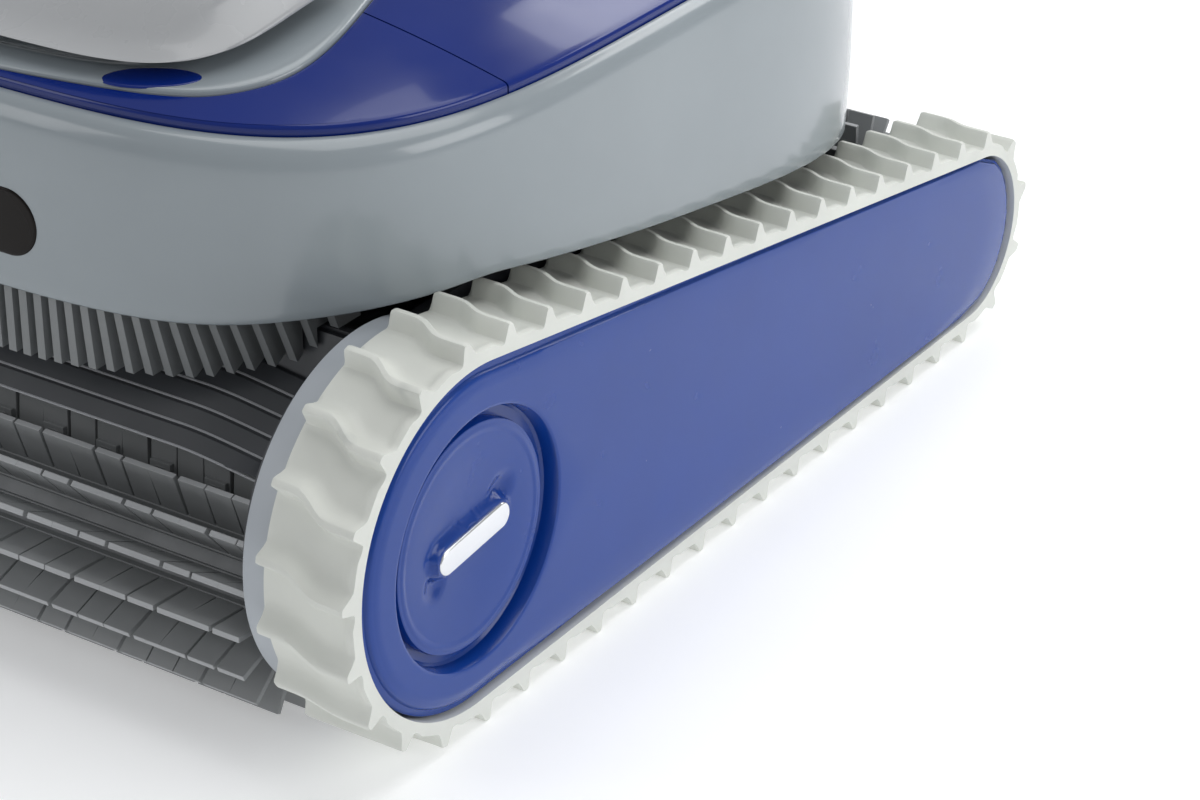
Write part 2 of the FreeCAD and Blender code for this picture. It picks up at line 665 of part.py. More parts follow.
def grille_ribs():
    """Upright fins in planes across the front, each set back as far as the corner curves away."""
    pitch, fin, depth, backing = 6.4, 3.5, 4.0, 2.4
    fins_each_side = 23
    rings = []
    for height, recess in ((106.0, 13.5), (138.5, 0.0)):
        outer, inner = [], []
        for index in range(-fins_each_side, fins_each_side + 1):
            middle = index * pitch
            front = grille_front(middle, recess)
            following = min(abs(index + 1), fins_each_side) * pitch
            floor = max(front, grille_front(following, recess)) + depth
            outer += [Vector(middle - fin / 2, front, height), Vector(middle + fin / 2, front, height)]
            if index < fins_each_side:
                outer += [Vector(middle + fin / 2, floor, height),
                          Vector(middle + pitch - fin / 2, floor, height)]
        for index in range(fins_each_side, -fins_each_side - 1, -1):
            edge = index * pitch + math.copysign(fin / 2, index)
            inner.append(Vector(edge, grille_front(edge, recess) + depth + backing + 4.0, height))
        rings.append(Part.makePolygon(outer + inner + [outer[0]]))
    ribs = Part.makeLoft(rings, True, True)
    rising_foot = Part.Face(Part.makePolygon([
        Vector(-260, y, z) for y, z in [(-230, 80.5), (-175, 109), (-150, 122), (-100, 148), (-100, 60),
                                        (-230, 60), (-230, 80.5)]])).extrude(Vector(520, 0, 0))
    behind = box((-170, STEP_BACK - 1.0, 60), (170, -60, 130.6))
    flat_foot = box((-170, -230, 60), (170, -60, 109.0))
    return ribs.cut(rising_foot).cut(flat_foot).cut(behind)


feature("front_grille", grille_ribs())

# ---------------------------------------------------------------- shell and top
SHELL_TOP = size("shell_top")
WALL_UPPER = size("shell_wall")
SEAM_Y = -size("lid_seam")
SEAM = size("seam_gap")
BELT_TOP_Z = FRONT_Z + size("front_reach") / math.sin(math.radians(TOP_ANGLE))
RUN_FALL = math.tan(2 * AXLE_SLOPE)         # height per length along the top run


def skirt_height(y):
    """Lower edge of the shell along the side: just above the top run of the track."""
    return BELT_TOP_Z + RUN_FALL * (y - FRONT_Y) + 4.5


skirt_cut = Part.Face(Part.makePolygon([
    Vector(-260, y, z) for y, z in [
        (-230, 60), (-230, 136), (-190, 137), (-168, 143), (-110, skirt_height(-110)),
        (166, skirt_height(166)), (180, 100), (230, 102), (230, 60), (-230, 60)]
])).extrude(Vector(520, 0, 0))
lip_inset = size("seam_gap")
opening = crown_solid(-lip_inset, 0, SHELL_TOP - 8)
outside = shell_solid(0, 92.0, SHELL_TOP)
inside = shell_solid(WALL_UPPER, 91.0, SHELL_TOP - 3.5)
HINGE_Y, HINGE_Z, HINGE_PIN, KNUCKLE = 184.0, 211.0, 1.6, 3.0
LID_REAR_Y = 180.0
shell = outside.cut(inside).cut(opening).cut(skirt_cut)
window_hole = Part.Face(Part.Wire(Part.__sortEdges__([
    edge.toShape() for edge in rounded_box(-58, 149, 58, 175, 12.9)]))).extrude(Vector(0, 0, 60))
turn_up = Placement(Vector(0, -170, 0), Rotation(Vector(1, 0, 0), 90))
window_hole.Placement = turn_up
GLAND = Vector(-96, 198.6, 158)
gland_hole = rod((GLAND.x, GLAND.y - 20, GLAND.z), (0, 1, 0), 9.2, 40)
feature("upper_shell", shell.cut(window_hole).cut(gland_hole))
pane = window_hole.common(shell_solid(0.6, 92.0, SHELL_TOP).cut(shell_solid(4.2, 91.0, SHELL_TOP)))
feature("front_window", pane)
lid_wall = size("lid_wall")
lid_skin = crown_solid(0, 0, SHELL_TOP - 2.0).cut(crown_solid(lid_wall, lid_wall, SHELL_TOP - 3.0))
deck_clear = deck_prism(SEAM, 190, 250)
front_half = box((-220, -230, 190), (220, SEAM_Y - SEAM / 2, 250))
rear_half = box((-220, SEAM_Y + SEAM / 2, 190), (220, LID_REAR_Y, 250))
cover_skin = lid_skin.cut(deck_clear)
feature("front_cover", cover_skin.common(front_half))
lid = cover_skin.common(rear_half)

# The hinge rail closes the opening behind the lid and carries two ears at each knuckle.
rail = lid_skin.common(box((-100, LID_REAR_Y + SEAM, 190), (100, 230, 250)))
wall = box((-100, LID_REAR_Y + SEAM, 199), (100, LID_REAR_Y + SEAM + 2.5, 216))
ledge = box((-100, LID_REAR_Y + SEAM, 199), (100, 194, SHELL_TOP - 3.5))
rail = rail.fuse(wall.common(crown_solid(0, 0, 190))).fuse(ledge.common(inside))
for side in (1, -1):
    low = side * 60 - 11
    rail = rail.cut(box((low - 0.8, LID_REAR_Y - 2, HINGE_Z - KNUCKLE - 0.7), (low + 22.8, 190, 240)))
    for x in (low - 4.8, low + 22.8):
        ear = rod((x, HINGE_Y, HINGE_Z), (1, 0, 0), KNUCKLE, 4)
        ear = ear.fuse(box((x, HINGE_Y - KNUCKLE, HINGE_Z - 6), (x + 4, HINGE_Y + KNUCKLE, HINGE_Z)))
        rail = rail.fuse(ear)
    rail = rail.cut(rod((low - 7, HINGE_Y, HINGE_Z), (1, 0, 0), HINGE_PIN, 36))
    knuckle = rod((low, HINGE_Y, HINGE_Z), (1, 0, 0), KNUCKLE, 22)
    knuckle = knuckle.fuse(box((low, LID_REAR_Y - 4, HINGE_Z - 2.2), (low + 22, HINGE_Y, HINGE_Z + 0.5)))
    lid = lid.fuse(knuckle.cut(rod((low - 1, HINGE_Y, HINGE_Z), (1, 0, 0), HINGE_PIN + FIT, 24)))
feature("filter_lid", lid)
feature("lid_hinge_ears", rail)
feature("lid_hinge_pins", Part.makeCompound([
    rod((side * 60 - 15.8, HINGE_Y, HINGE_Z), (1, 0, 0), HINGE_PIN, 31.6) for side in (1, -1)]))

# Middle deck, standing a little proud of the covers.
OUTLET_Y, OUTLET_RADIUS = -46.0, 37.0
deck_skin = crown_solid(-1.5, -1.5, SHELL_TOP - 9).cut(crown_solid(1.6, 1.8, SHELL_TOP - 10))
deck = deck_skin.common(deck_prism(0, 190, 250))
deck = deck.cut(rod((0, OUTLET_Y, 200), (0, 0, 1), OUTLET_RADIUS + 0.2, 50))
feature("middle_deck", deck)

# Outlet grille, duct, impeller and pump motor on one upright axis.
bars = []
for ring in (12.0, 20.0, 28.0):
    bars.append(rod((0, OUTLET_Y, 0), (0, 0, 1), ring + 1.4, 3).cut(
        rod((0, OUTLET_Y, -1), (0, 0, 1), ring - 1.4, 5)))
rim_ring = rod((0, OUTLET_Y, -6), (0, 0, 1), OUTLET_RADIUS, 9).cut(
    rod((0, OUTLET_Y, -7), (0, 0, 1), OUTLET_RADIUS - 3, 11))
grille = rim_ring.fuse(bars + [rod((0, OUTLET_Y, 0), (0, 0, 1), 6, 3)])
for spoke in range(6):
    blade = Part.makeBox(OUTLET_RADIUS - 2, 3, 3, Vector(0, OUTLET_Y - 1.5, 0))
    blade.rotate(Vector(0, OUTLET_Y, 0), Vector(0, 0, 1), 60 * spoke)
    grille = grille.fuse(blade)
feature("outlet_grille", grille.removeSplitter(), (0, 0, 231.0))
DUCT_LOW = 138.0
turned("outlet_duct", [[(34.4, DUCT_LOW), (37, DUCT_LOW), (37, 224.6), (34.4, 224.6)]],
       (0, OUTLET_Y, 0), axis="Z")
turned("pump_motor", [[(0, 34), (26, 34), (30, 38), (30, 118), (24, 124), (10, 124), (10, 134), (5.2, 134),
                       (5.2, 122), (0, 122)]], (0, OUTLET_Y, 0), axis="Z")
turned("pump_shaft", [[(0, 122.3), (5, 122.3), (5, 170), (0, 170)]], (0, OUTLET_Y, 0), axis="Z")
hub = rod((0, 0, 150), (0, 0, 1), 11, 24).cut(rod((0, 0, 149), (0, 0, 1), 5, 21.3))
for index in range(4):
    blade = Part.makeBox(22, 2.2, 18, Vector(10, -1.1, 153))
    blade.rotate(Vector(20, 0, 162), Vector(1, 0, 0), 38)
    blade.rotate(Vector(0, 0, 0), Vector(0, 0, 1), 90 * index)
    hub = hub.fuse(blade)
feature("impeller", hub, (0, OUTLET_Y, 0))

# Filter basket under the lid: a rim frame with four posts, a floor and mesh walls.
BASKET = (-104.0, 34.0, 58.0, 104.0, 138.0, 196.0)
x0, y0, z0, x1, y1, z1 = BASKET
frame_block = box((x0, y0, z0), (x1, y1, z1))
frame_block = frame_block.cut(box((x0 + 2.4, y0 + 2.4, z0 + 3), (x1 - 2.4, y1 - 2.4, z1 + 1)))
for low, high in (((x0 + 12, y0 - 1, z0 + 12), (-6, y1 + 1, z1 - 12)),
                  ((6, y0 - 1, z0 + 12), (x1 - 12, y1 + 1, z1 - 12)),
                  ((x0 - 1, y0 + 12, z0 + 12), (x1 + 1, y1 - 12, z1 - 12))):
    frame_block = frame_block.cut(box(low, high))
frame_block = frame_block.cut(box((-76, y0 + 14, z0 - 1), (76, y1 - 14, z0 + 4)))
feature("filter_basket", frame_block)
mesh_gap = 2.6
mesh = [
    box((x0 + 6, y0 + mesh_gap, z0 + 6), (x1 - 6, y0 + mesh_gap + 0.8, z1 - 6)),
    box((x0 + 6, y1 - mesh_gap - 0.8, z0 + 6), (x1 - 6, y1 - mesh_gap, z1 - 6)),
    box((x0 + mesh_gap, y0 + 6, z0 + 6), (x0 + mesh_gap + 0.8, y1 - 6, z1 - 6)),
    box((x1 - mesh_gap - 0.8, y0 + 6, z0 + 6), (x1 - mesh_gap, y1 - 6, z1 - 6)),
]
feature("filter_mesh", Part.makeCompound(mesh))
case = box((-46, -146, 40), (46, -106, 62)).translated(Vector(0, 18, 0))
feature("control_box", case.makeFillet(4, case.Edges))

# Carrying handle: a wide front bar with two arms back to its pins.
HANDLE_Y, HANDLE_Z, HANDLE_PIN, HANDLE_EYE = -98.0, 236.0, 3.0, 6.3
eye = [polar(HANDLE_Y, HANDLE_Z, HANDLE_EYE, angle) for angle in (60, 30, 0, -30, -60, -90)]
handle_side = [(-172, 220.2), (-171, 225), (-163, 231), (-140, 239), (-116, 243.3), (-102, 243.3)] + eye + [
    (-110, 229.6), (-130, 229), (-150, 225), (-162, 218.8)]
handle = new_body("carry_handle")
pad(handle, sketch(handle, "YZ_Plane", closed(handle_side)), 212.0, midplane=True)
pocket(handle, sketch(handle, "XY_Plane", rounded_box(-80, -136, 80, -80, 10)))
pocket(handle, sketch(handle, "YZ_Plane", [circle(HANDLE_Y, HANDLE_Z, HANDLE_PIN + FIT)]))
pivots = []
for side in (1, -1):
    low = 72.0 if side > 0 else -79.0
    post = box((low, HANDLE_Y - 7, 205), (low + 7, HANDLE_Y + 7, HANDLE_Z + 5))
    pin = rod((side * 72, HANDLE_Y, HANDLE_Z), (side, 0, 0), HANDLE_PIN, 33)
    pivots.append(post.cut(crown_solid(-1.7, -1.7, 190)).fuse(pin))
feature("handle_pivots", Part.makeCompound(pivots))

# Cable inlet at the rear of the shell, with no cable in it.
gland = turned("cable_gland", [[(4, -6), (9, -6), (9, 0), (14, 0), (14, 3), (10, 3), (8, 14), (4, 14)]],
               (0, 0, 0), axis="Z")
gland.Placement = Placement(GLAND, Rotation(Vector(1, 0, 0), -90))

# Screws: pan heads with shanks, one solid each.
def screw(at, direction, head_radius, shank_radius, length):
    head = rod(at, direction, head_radius, 2.0)
    back = Vector(*at) - Vector(*direction) * length
    return head.fuse(rod(tuple(back), direction, shank_radius, length + 0.5)).removeSplitter()


SCREW_SPOTS = [(x, y) for x in (-140, 140) for y in (-110, 8, 126)] + [(0, -110), (0, 126)]
plate_screws = [screw((x, y, PLATE_Z), (0, 0, -1), 3.6, 1.6, 2.0) for x, y in SCREW_SPOTS]
holes = sketch(plate, "XY_Plane", [circle(x, y, 1.6) for x, y in SCREW_SPOTS])
pocket(plate, holes)
feature("plate_screws", Part.makeCompound(plate_screws))

# ---------------------------------------------------------------- check and write
document.recompute()
pieces = [item for item in document.Objects
          if item.TypeId in ("PartDesign::Body", "Part::Feature") and not item.getParentGeoFeatureGroup()]
for item in document.Objects:
    if {"Invalid", "Error"} & set(item.State):
        raise RuntimeError("%s failed: %s" % (item.Label, item.State))
for piece in pieces:
    if piece.Shape.isNull() or not piece.Shape.isValid() or not piece.Shape.Solids:
        raise RuntimeError("%s has no valid solid" % piece.Label)
    piece.Shape.exportStep("parts/%s.step" % piece.Label)
print(len(pieces), "pieces written")
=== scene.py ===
import json
import math

import bmesh
import bpy
from mathutils import Matrix, Vector


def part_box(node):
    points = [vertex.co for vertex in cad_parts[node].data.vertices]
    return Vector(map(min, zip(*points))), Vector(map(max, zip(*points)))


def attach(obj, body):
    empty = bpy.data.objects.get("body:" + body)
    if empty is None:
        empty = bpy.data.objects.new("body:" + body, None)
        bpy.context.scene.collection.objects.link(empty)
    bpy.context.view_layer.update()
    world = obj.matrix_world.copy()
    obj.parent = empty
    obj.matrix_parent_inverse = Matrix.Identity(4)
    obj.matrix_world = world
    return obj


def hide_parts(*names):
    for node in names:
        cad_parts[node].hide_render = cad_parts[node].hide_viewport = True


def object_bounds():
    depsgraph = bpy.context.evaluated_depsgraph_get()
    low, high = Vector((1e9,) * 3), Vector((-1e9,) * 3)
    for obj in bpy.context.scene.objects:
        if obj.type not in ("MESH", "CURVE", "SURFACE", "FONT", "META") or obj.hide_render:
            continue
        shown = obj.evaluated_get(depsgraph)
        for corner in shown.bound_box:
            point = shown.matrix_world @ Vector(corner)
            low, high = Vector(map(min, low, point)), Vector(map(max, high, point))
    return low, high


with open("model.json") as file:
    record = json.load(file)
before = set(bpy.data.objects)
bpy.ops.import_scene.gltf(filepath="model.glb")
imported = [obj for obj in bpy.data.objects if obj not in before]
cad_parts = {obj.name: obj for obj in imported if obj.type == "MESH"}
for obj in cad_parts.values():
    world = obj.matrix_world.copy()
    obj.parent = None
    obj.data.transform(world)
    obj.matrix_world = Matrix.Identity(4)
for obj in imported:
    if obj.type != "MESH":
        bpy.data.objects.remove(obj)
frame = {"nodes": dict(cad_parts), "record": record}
cad_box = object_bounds()
MM = 0.001
SIDES = {"right": 1, "left": -1}


# ---------------------------------------------------------------- places from the frame
def joint_place(name):
    """Where a joint sits, in millimetres."""
    joint = next(item for item in frame["record"]["behaviour"]["joints"] if item["name"] == name)
    return [1000 * value for value in joint["pos_m"]]


def node_box(name):
    """Lowest and highest corner of a CAD node, in millimetres."""
    low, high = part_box(name)
    return [1000 * value for value in low], [1000 * value for value in high]


FRONT_Y, FRONT_Z = joint_place("drive_right_spin")[1:]
REAR_Y, REAR_Z = joint_place("rear_brush_spin")[1:]
FRONT_BRUSH_Y, FRONT_BRUSH_Z = joint_place("front_brush_spin")[1:]
BELT_INNER, BELT_OUTER = [corner[0] for corner in node_box("track_belt_right")]
CLEAT, BELT_BASE, CLEATS = 6.8, 4.0, 45
FRONT_LOOP = FRONT_Z - CLEAT - BELT_BASE
REAR_LOOP = REAR_Z - CLEAT - BELT_BASE
PANEL_GAP = 1.1
WHEELBASE = REAR_Y - FRONT_Y
BRUSH_END = node_box("front_brush_sleeve")[1][0]
BRUSH_RADIUS = 41.6
SHELL_WIDE, SHELL_LONG, SHELL_TOP = 198.5, 200.0, 206.0
CROWN_WIDE, CROWN_LONG, CROWN_EDGE, CROWN_RISE = 186.0, 189.0, 209.5, 25.0
TOP_SQUARE = 3.9  # exponent of the squared oval that the rim and the crown share
SEAM_Y, LID_REAR_Y = -98.0, 180.0
OUTLET_Y, OUTLET_RADIUS = -46.0, 37.0


# ---------------------------------------------------------------- mesh helpers
def mesh_object(name, points, faces, material, smooth, angle):
    """A mesh from points in millimetres; edges steeper than the angle stay sharp."""
    mesh = bpy.data.meshes.new(name)
    mesh.from_pydata([tuple(MM * value for value in point) for point in points], [], faces)
    mesh.validate()
    piece = bpy.data.objects.new(name, mesh)
    bpy.context.scene.collection.objects.link(piece)
    tidy = bmesh.new()
    tidy.from_mesh(mesh)
    bmesh.ops.remove_doubles(tidy, verts=tidy.verts, dist=1e-6)
    bmesh.ops.recalc_face_normals(tidy, faces=tidy.faces)
    tidy.to_mesh(mesh)
    tidy.free()
    if smooth:
        mesh.shade_smooth()
        mesh.set_sharp_from_angle(angle=math.radians(angle))
    mesh.materials.append(material)
    return piece


def mesh_piece(name, points, faces, body, replaced=(), material=None, smooth=True, angle=35):
    """A mesh that rides on a body and stands for CAD nodes."""
    piece = mesh_object(name, points, faces, material, smooth, angle)
    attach(piece, body)
    if replaced:
        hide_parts(*replaced)
    return piece


def ring_faces(rings, count, wrap_rings=False):
    """Quads between successive rings of count points each, the rings being closed."""
    faces = []
    for ring in range(rings if wrap_rings else rings - 1):
        after = (ring + 1) % rings
        for index in range(count):
            following = (index + 1) % count
            faces.append((ring * count + index, ring * count + following,
                          after * count + following, after * count + index))
    return faces


def joined(rings):
    """The points of all the rings, one ring after another."""
    return [point for ring in rings for point in ring]


def full_circle(count):
    """Angles of count equal steps round a circle."""
    return [2 * math.pi * index / count for index in range(count)]


def smooth_step(value, low, high):
    """0 up to low, 1 from high, and an even S between them."""
    share = min(1.0, max(0.0, (value - low) / (high - low)))
    return share * share * (3 - 2 * share)


# ---------------------------------------------------------------- materials
def new_material(name):
    material = bpy.data.materials.new(name)
    material.use_nodes = True
    tree = material.node_tree
    shader = tree.nodes["Principled BSDF"]
    return material, tree, shader


def noise(tree, scale, detail, stretch=(1, 1, 1)):
    place = tree.nodes.new("ShaderNodeTexCoord")
    mapping = tree.nodes.new("ShaderNodeMapping")
    mapping.inputs["Scale"].default_value = stretch
    texture = tree.nodes.new("ShaderNodeTexNoise")
    texture.inputs["Scale"].default_value = scale
    texture.inputs["Detail"].default_value = detail
    tree.links.new(place.outputs["Object"], mapping.inputs["Vector"])
    tree.links.new(mapping.outputs["Vector"], texture.inputs["Vector"])
    return texture.outputs["Fac"]


def ramp(tree, source, stops):
    """A colour for each value of the source, blended between the stops."""
    node = tree.nodes.new("ShaderNodeValToRGB")
    tree.links.new(source, node.inputs["Fac"])
    elements = node.color_ramp.elements
    while len(elements) < len(stops):
        elements.new(0.5)
    for element, (position, colour) in zip(elements, stops):
        element.position = position
        element.color = (*colour, 1)
    return node.outputs["Color"]


def spread(tree, source, low, high):
    """The middle of a noise's range, stretched to run from low to high."""
    node = tree.nodes.new("ShaderNodeMapRange")
    node.inputs["From Min"].default_value = 0.3
    node.inputs["From Max"].default_value = 0.7
    node.inputs["To Min"].default_value = low
    node.inputs["To Max"].default_value = high
    tree.links.new(source, node.inputs["Value"])
    return node.outputs["Result"]


def bump(tree, shader, source, strength):
    node = tree.nodes.new("ShaderNodeBump")
    node.inputs["Strength"].default_value = strength
    node.inputs["Distance"].default_value = GRAIN_HEIGHT
    tree.links.new(source, node.inputs["Height"])
    tree.links.new(node.outputs["Normal"], shader.inputs["Normal"])


def shade(colour, factor):
    return tuple(min(1.0, value * factor) for value in colour)


GRAIN_HEIGHT = 0.0002


def moulded(name, colour, rough, grain, depth, variation=0.06, coat=0.0, dirt=None, metal=0.0,
            stretch=(1, 1, 1), patch=14):
    """Moulded plastic, rubber or metal: patchy colour, varying roughness and a fine grain."""
    material, tree, shader = new_material(name)
    patches = noise(tree, patch, 4.0)
    stops = [(0.32, shade(colour, 1 - variation)), (0.68, shade(colour, 1 + variation))]
    if dirt:
        stops = [(0.18, dirt)] + stops
    tree.links.new(ramp(tree, patches, stops), shader.inputs["Base Color"])
    fine = noise(tree, grain, 2.0, stretch)
    roughness = spread(tree, noise(tree, 60, 3.0), rough * 0.85, rough * 1.15)
    tree.links.new(roughness, shader.inputs["Roughness"])
    bump(tree, shader, fine, depth)
    shader.inputs["Metallic"].default_value = metal
    shader.inputs["Coat Weight"].default_value = coat
    shader.inputs["Coat Roughness"].default_value = 0.04
    return material


SHELL_GREY = moulded("shell_grey_gloss", (0.285, 0.322, 0.345), 0.20, grain=500, depth=0.012,
                     variation=0.03, coat=0.3)
TOP_BLUE = moulded("top_blue_gloss", (0.0015, 0.018, 0.18), 0.14, grain=420, depth=0.012,
                   variation=0.05, coat=0.25)
SIDE_BLUE = moulded("side_blue_gloss", (0.004, 0.045, 0.275), 0.24, grain=420, depth=0.015,
                    variation=0.05, coat=0.15)
TRACK_RUBBER = moulded("track_rubber_pale", (0.72, 0.735, 0.685), 0.55, grain=320, depth=0.16,
                       variation=0.05, dirt=(0.36, 0.385, 0.37), patch=26)
WHEEL_PLASTIC = moulded("wheel_plastic_pale", (0.42, 0.45, 0.485), 0.42, grain=700, depth=0.05)
BRUSH_RUBBER = moulded("brush_rubber_grey", (0.30, 0.31, 0.315), 0.50, grain=520, depth=0.10,
                       variation=0.10)
TAB_EDGE = moulded("brush_tab_edge", (0.40, 0.41, 0.42), 0.60, grain=520, depth=0.1, variation=0.12)
SLEEVE_BAND = moulded("brush_sleeve_band", (0.30, 0.31, 0.32), 0.5, grain=420, depth=0.1,
                      variation=0.18, patch=40)
DARK_PLASTIC = moulded("dark_plastic_satin", (0.052, 0.056, 0.063), 0.42, grain=800, depth=0.05,
                       variation=0.08)
# pale material for thin strips on the slat step edges: a painted highlight, not the plastic's own colour
SLAT_EDGE_PAINTED_HIGHLIGHT = moulded("slat_edge_painted_highlight", (0.42, 0.43, 0.45), 0.35, grain=600, depth=0.03)
GRILLE_PLASTIC = moulded("grille_plastic_grey", (0.20, 0.21, 0.215), 0.42, grain=700, depth=0.05,
                         variation=0.06)
SILVER_PLASTIC = moulded("silver_plastic_satin", (0.40, 0.41, 0.42), 0.28, grain=900, depth=0.03,
                         variation=0.03, coat=0.3)
CHROME = moulded("chrome_satin", (0.86, 0.87, 0.88), 0.12, grain=600, depth=0.01,
                 variation=0.02, metal=0.85)
STEEL = moulded("steel_turned", (0.55, 0.56, 0.58), 0.32, grain=200, depth=0.08, metal=1.0,
                stretch=(6, 1, 1))
GEAR_PLASTIC = moulded("gear_plastic_cream", (0.62, 0.60, 0.54), 0.4, grain=700, depth=0.04)
WINDOW_DARK = moulded("window_smoked", (0.008, 0.006, 0.005), 0.2, grain=300, depth=0.01)
# the dark glossy plastics reflect less than the usual amount
for glossy, level in ((TOP_BLUE, 0.30), (SIDE_BLUE, 0.34), (WINDOW_DARK, 0.15)):
    glossy.node_tree.nodes["Principled BSDF"].inputs["Specular IOR Level"].default_value = level
FILTER_FABRIC = moulded("filter_mesh_fabric", (0.62, 0.63, 0.61), 0.8, grain=1500, depth=0.5,
                        variation=0.08)
SLOT_MATERIALS = {
    "shell_grey": SHELL_GREY, "top_blue": TOP_BLUE, "side_blue": SIDE_BLUE, "track_rubber": TRACK_RUBBER,
    "wheel_plastic": WHEEL_PLASTIC, "brush_rubber": BRUSH_RUBBER, "dark_plastic": DARK_PLASTIC,
    "grille_plastic": GRILLE_PLASTIC, "silver_plastic": SILVER_PLASTIC, "chrome_trim": CHROME, "steel": STEEL,
    "gear_plastic": GEAR_PLASTIC, "window_dark": WINDOW_DARK, "filter_fabric": FILTER_FABRIC,
}
for subpart in frame["record"]["subparts"]:
    carried = frame["nodes"][subpart["node"]]
    for place in carried.material_slots:
        place.material = SLOT_MATERIALS[subpart["material_slot"]]


# ---------------------------------------------------------------- camera and light
def make_camera():
    data = bpy.data.cameras.new("camera")
    data.lens = 102.0
    data.sensor_width = 36.0
    data.clip_start, data.clip_end = 0.05, 20
    camera = bpy.data.objects.new("camera", data)
    bpy.context.scene.collection.objects.link(camera)
    # the camera stands at front right, looking down on the object
    azimuth, elevation, roll = [math.radians(angle) for angle in (33.276, 27.887, 0.3)]
    back = Vector((math.sin(azimuth) * math.cos(elevation), -math.cos(azimuth) * math.cos(elevation),
                   math.sin(elevation)))
    right = Vector((math.cos(azimuth), math.sin(azimuth), 0))
    turn = Matrix((right, back.cross(right), back)).transposed().to_4x4()
    place = Matrix.Translation((0.79056, -0.96762, 0.65058))
    camera.matrix_world = place @ turn @ Matrix.Rotation(roll, 4, "Z")
    bpy.context.scene.camera = camera


def area_light(name, place, target, width, height, power):
    data = bpy.data.lights.new(name, "AREA")
    data.shape = "RECTANGLE"
    data.size, data.size_y = width, height
    data.energy = power
    light = bpy.data.objects.new(name, data)
    bpy.context.scene.collection.objects.link(light)
    light.location = place
    light.rotation_mode = "QUATERNION"
    light.rotation_quaternion = (Vector(target) - Vector(place)).to_track_quat("-Z", "Y")


def make_studio():
    """A pale floor and soft light from above, both sides and behind."""
    world = bpy.data.worlds.new("studio")
    world.use_nodes = True
    world.node_tree.nodes["Background"].inputs["Color"].default_value = (0.95, 0.97, 1.0, 1)
    world.node_tree.nodes["Background"].inputs["Strength"].default_value = 0.34
    bpy.context.scene.world = world
    area_light("overhead", (0.1, 0.3, 1.7), (0, 0, 0.1), 1.7, 1.3, 13)
    area_light("left_box", (-1.3, -1.5, 1.0), (0, -0.1, 0.15), 0.9, 1.2, 6)
    area_light("right_box", (1.8, 0.3, 0.8), (0.1, 0, 0.1), 1.2, 0.9, 10)
    area_light("behind", (0.2, 1.8, 1.3), (0, 0.1, 0.15), 1.6, 0.7, 12)
    material = moulded("studio_floor", (0.86, 0.87, 0.88), 0.7, grain=90, depth=0.02, variation=0.01)
    glow = material.node_tree.nodes["Principled BSDF"]
    glow.inputs["Emission Color"].default_value = (1, 1, 1, 1)
    glow.inputs["Emission Strength"].default_value = 0.30
    half = 6000
    corners = [(-half, -half, 0), (half, -half, 0), (half, half, 0), (-half, half, 0)]
    floor = mesh_object("studio_floor", corners, [(0, 1, 2, 3)], material, smooth=False, angle=35)
    bpy.context.scene.view_settings.view_transform = "Standard"
    bpy.context.scene.view_settings.look = "None"


make_camera()
make_studio()


# ---------------------------------------------------------------- track path
AXLE_SLOPE = math.atan2(REAR_Z - FRONT_Z, WHEELBASE)
TOP_ANGLE = 2 * AXLE_SLOPE + math.pi / 2
RUN = math.sqrt(WHEELBASE ** 2 + (REAR_Z - FRONT_Z) ** 2 - (FRONT_LOOP - REAR_LOOP) ** 2)
REAR_ARC = (REAR_LOOP + BELT_BASE / 2) * (TOP_ANGLE + math.pi / 2)
FRONT_ARC = (FRONT_LOOP + BELT_BASE / 2) * (1.5 * math.pi - TOP_ANGLE)
TRACK_LENGTH = 2 * RUN + REAR_ARC + FRONT_ARC


def around(y, z, radius, angle):
    return (y + radius * math.cos(angle), z + radius * math.sin(angle))


def track_point(distance, height):
    """(y, z) at a distance along the belt, and a height above its inner face."""
    distance %= TRACK_LENGTH
    if distance < RUN:
        return (FRONT_Y + distance, FRONT_Z - FRONT_LOOP - height)
    distance -= RUN
    if distance < REAR_ARC:
        return around(REAR_Y, REAR_Z, REAR_LOOP + height,
                      -math.pi / 2 + (TOP_ANGLE + math.pi / 2) * distance / REAR_ARC)
    distance -= REAR_ARC
    if distance < RUN:
        start = around(REAR_Y, REAR_Z, REAR_LOOP + height, TOP_ANGLE)
        return around(start[0], start[1], distance, TOP_ANGLE + math.pi / 2)
    distance -= RUN
    return around(FRONT_Y, FRONT_Z, FRONT_LOOP + height,
                  TOP_ANGLE + (1.5 * math.pi - TOP_ANGLE) * distance / FRONT_ARC)


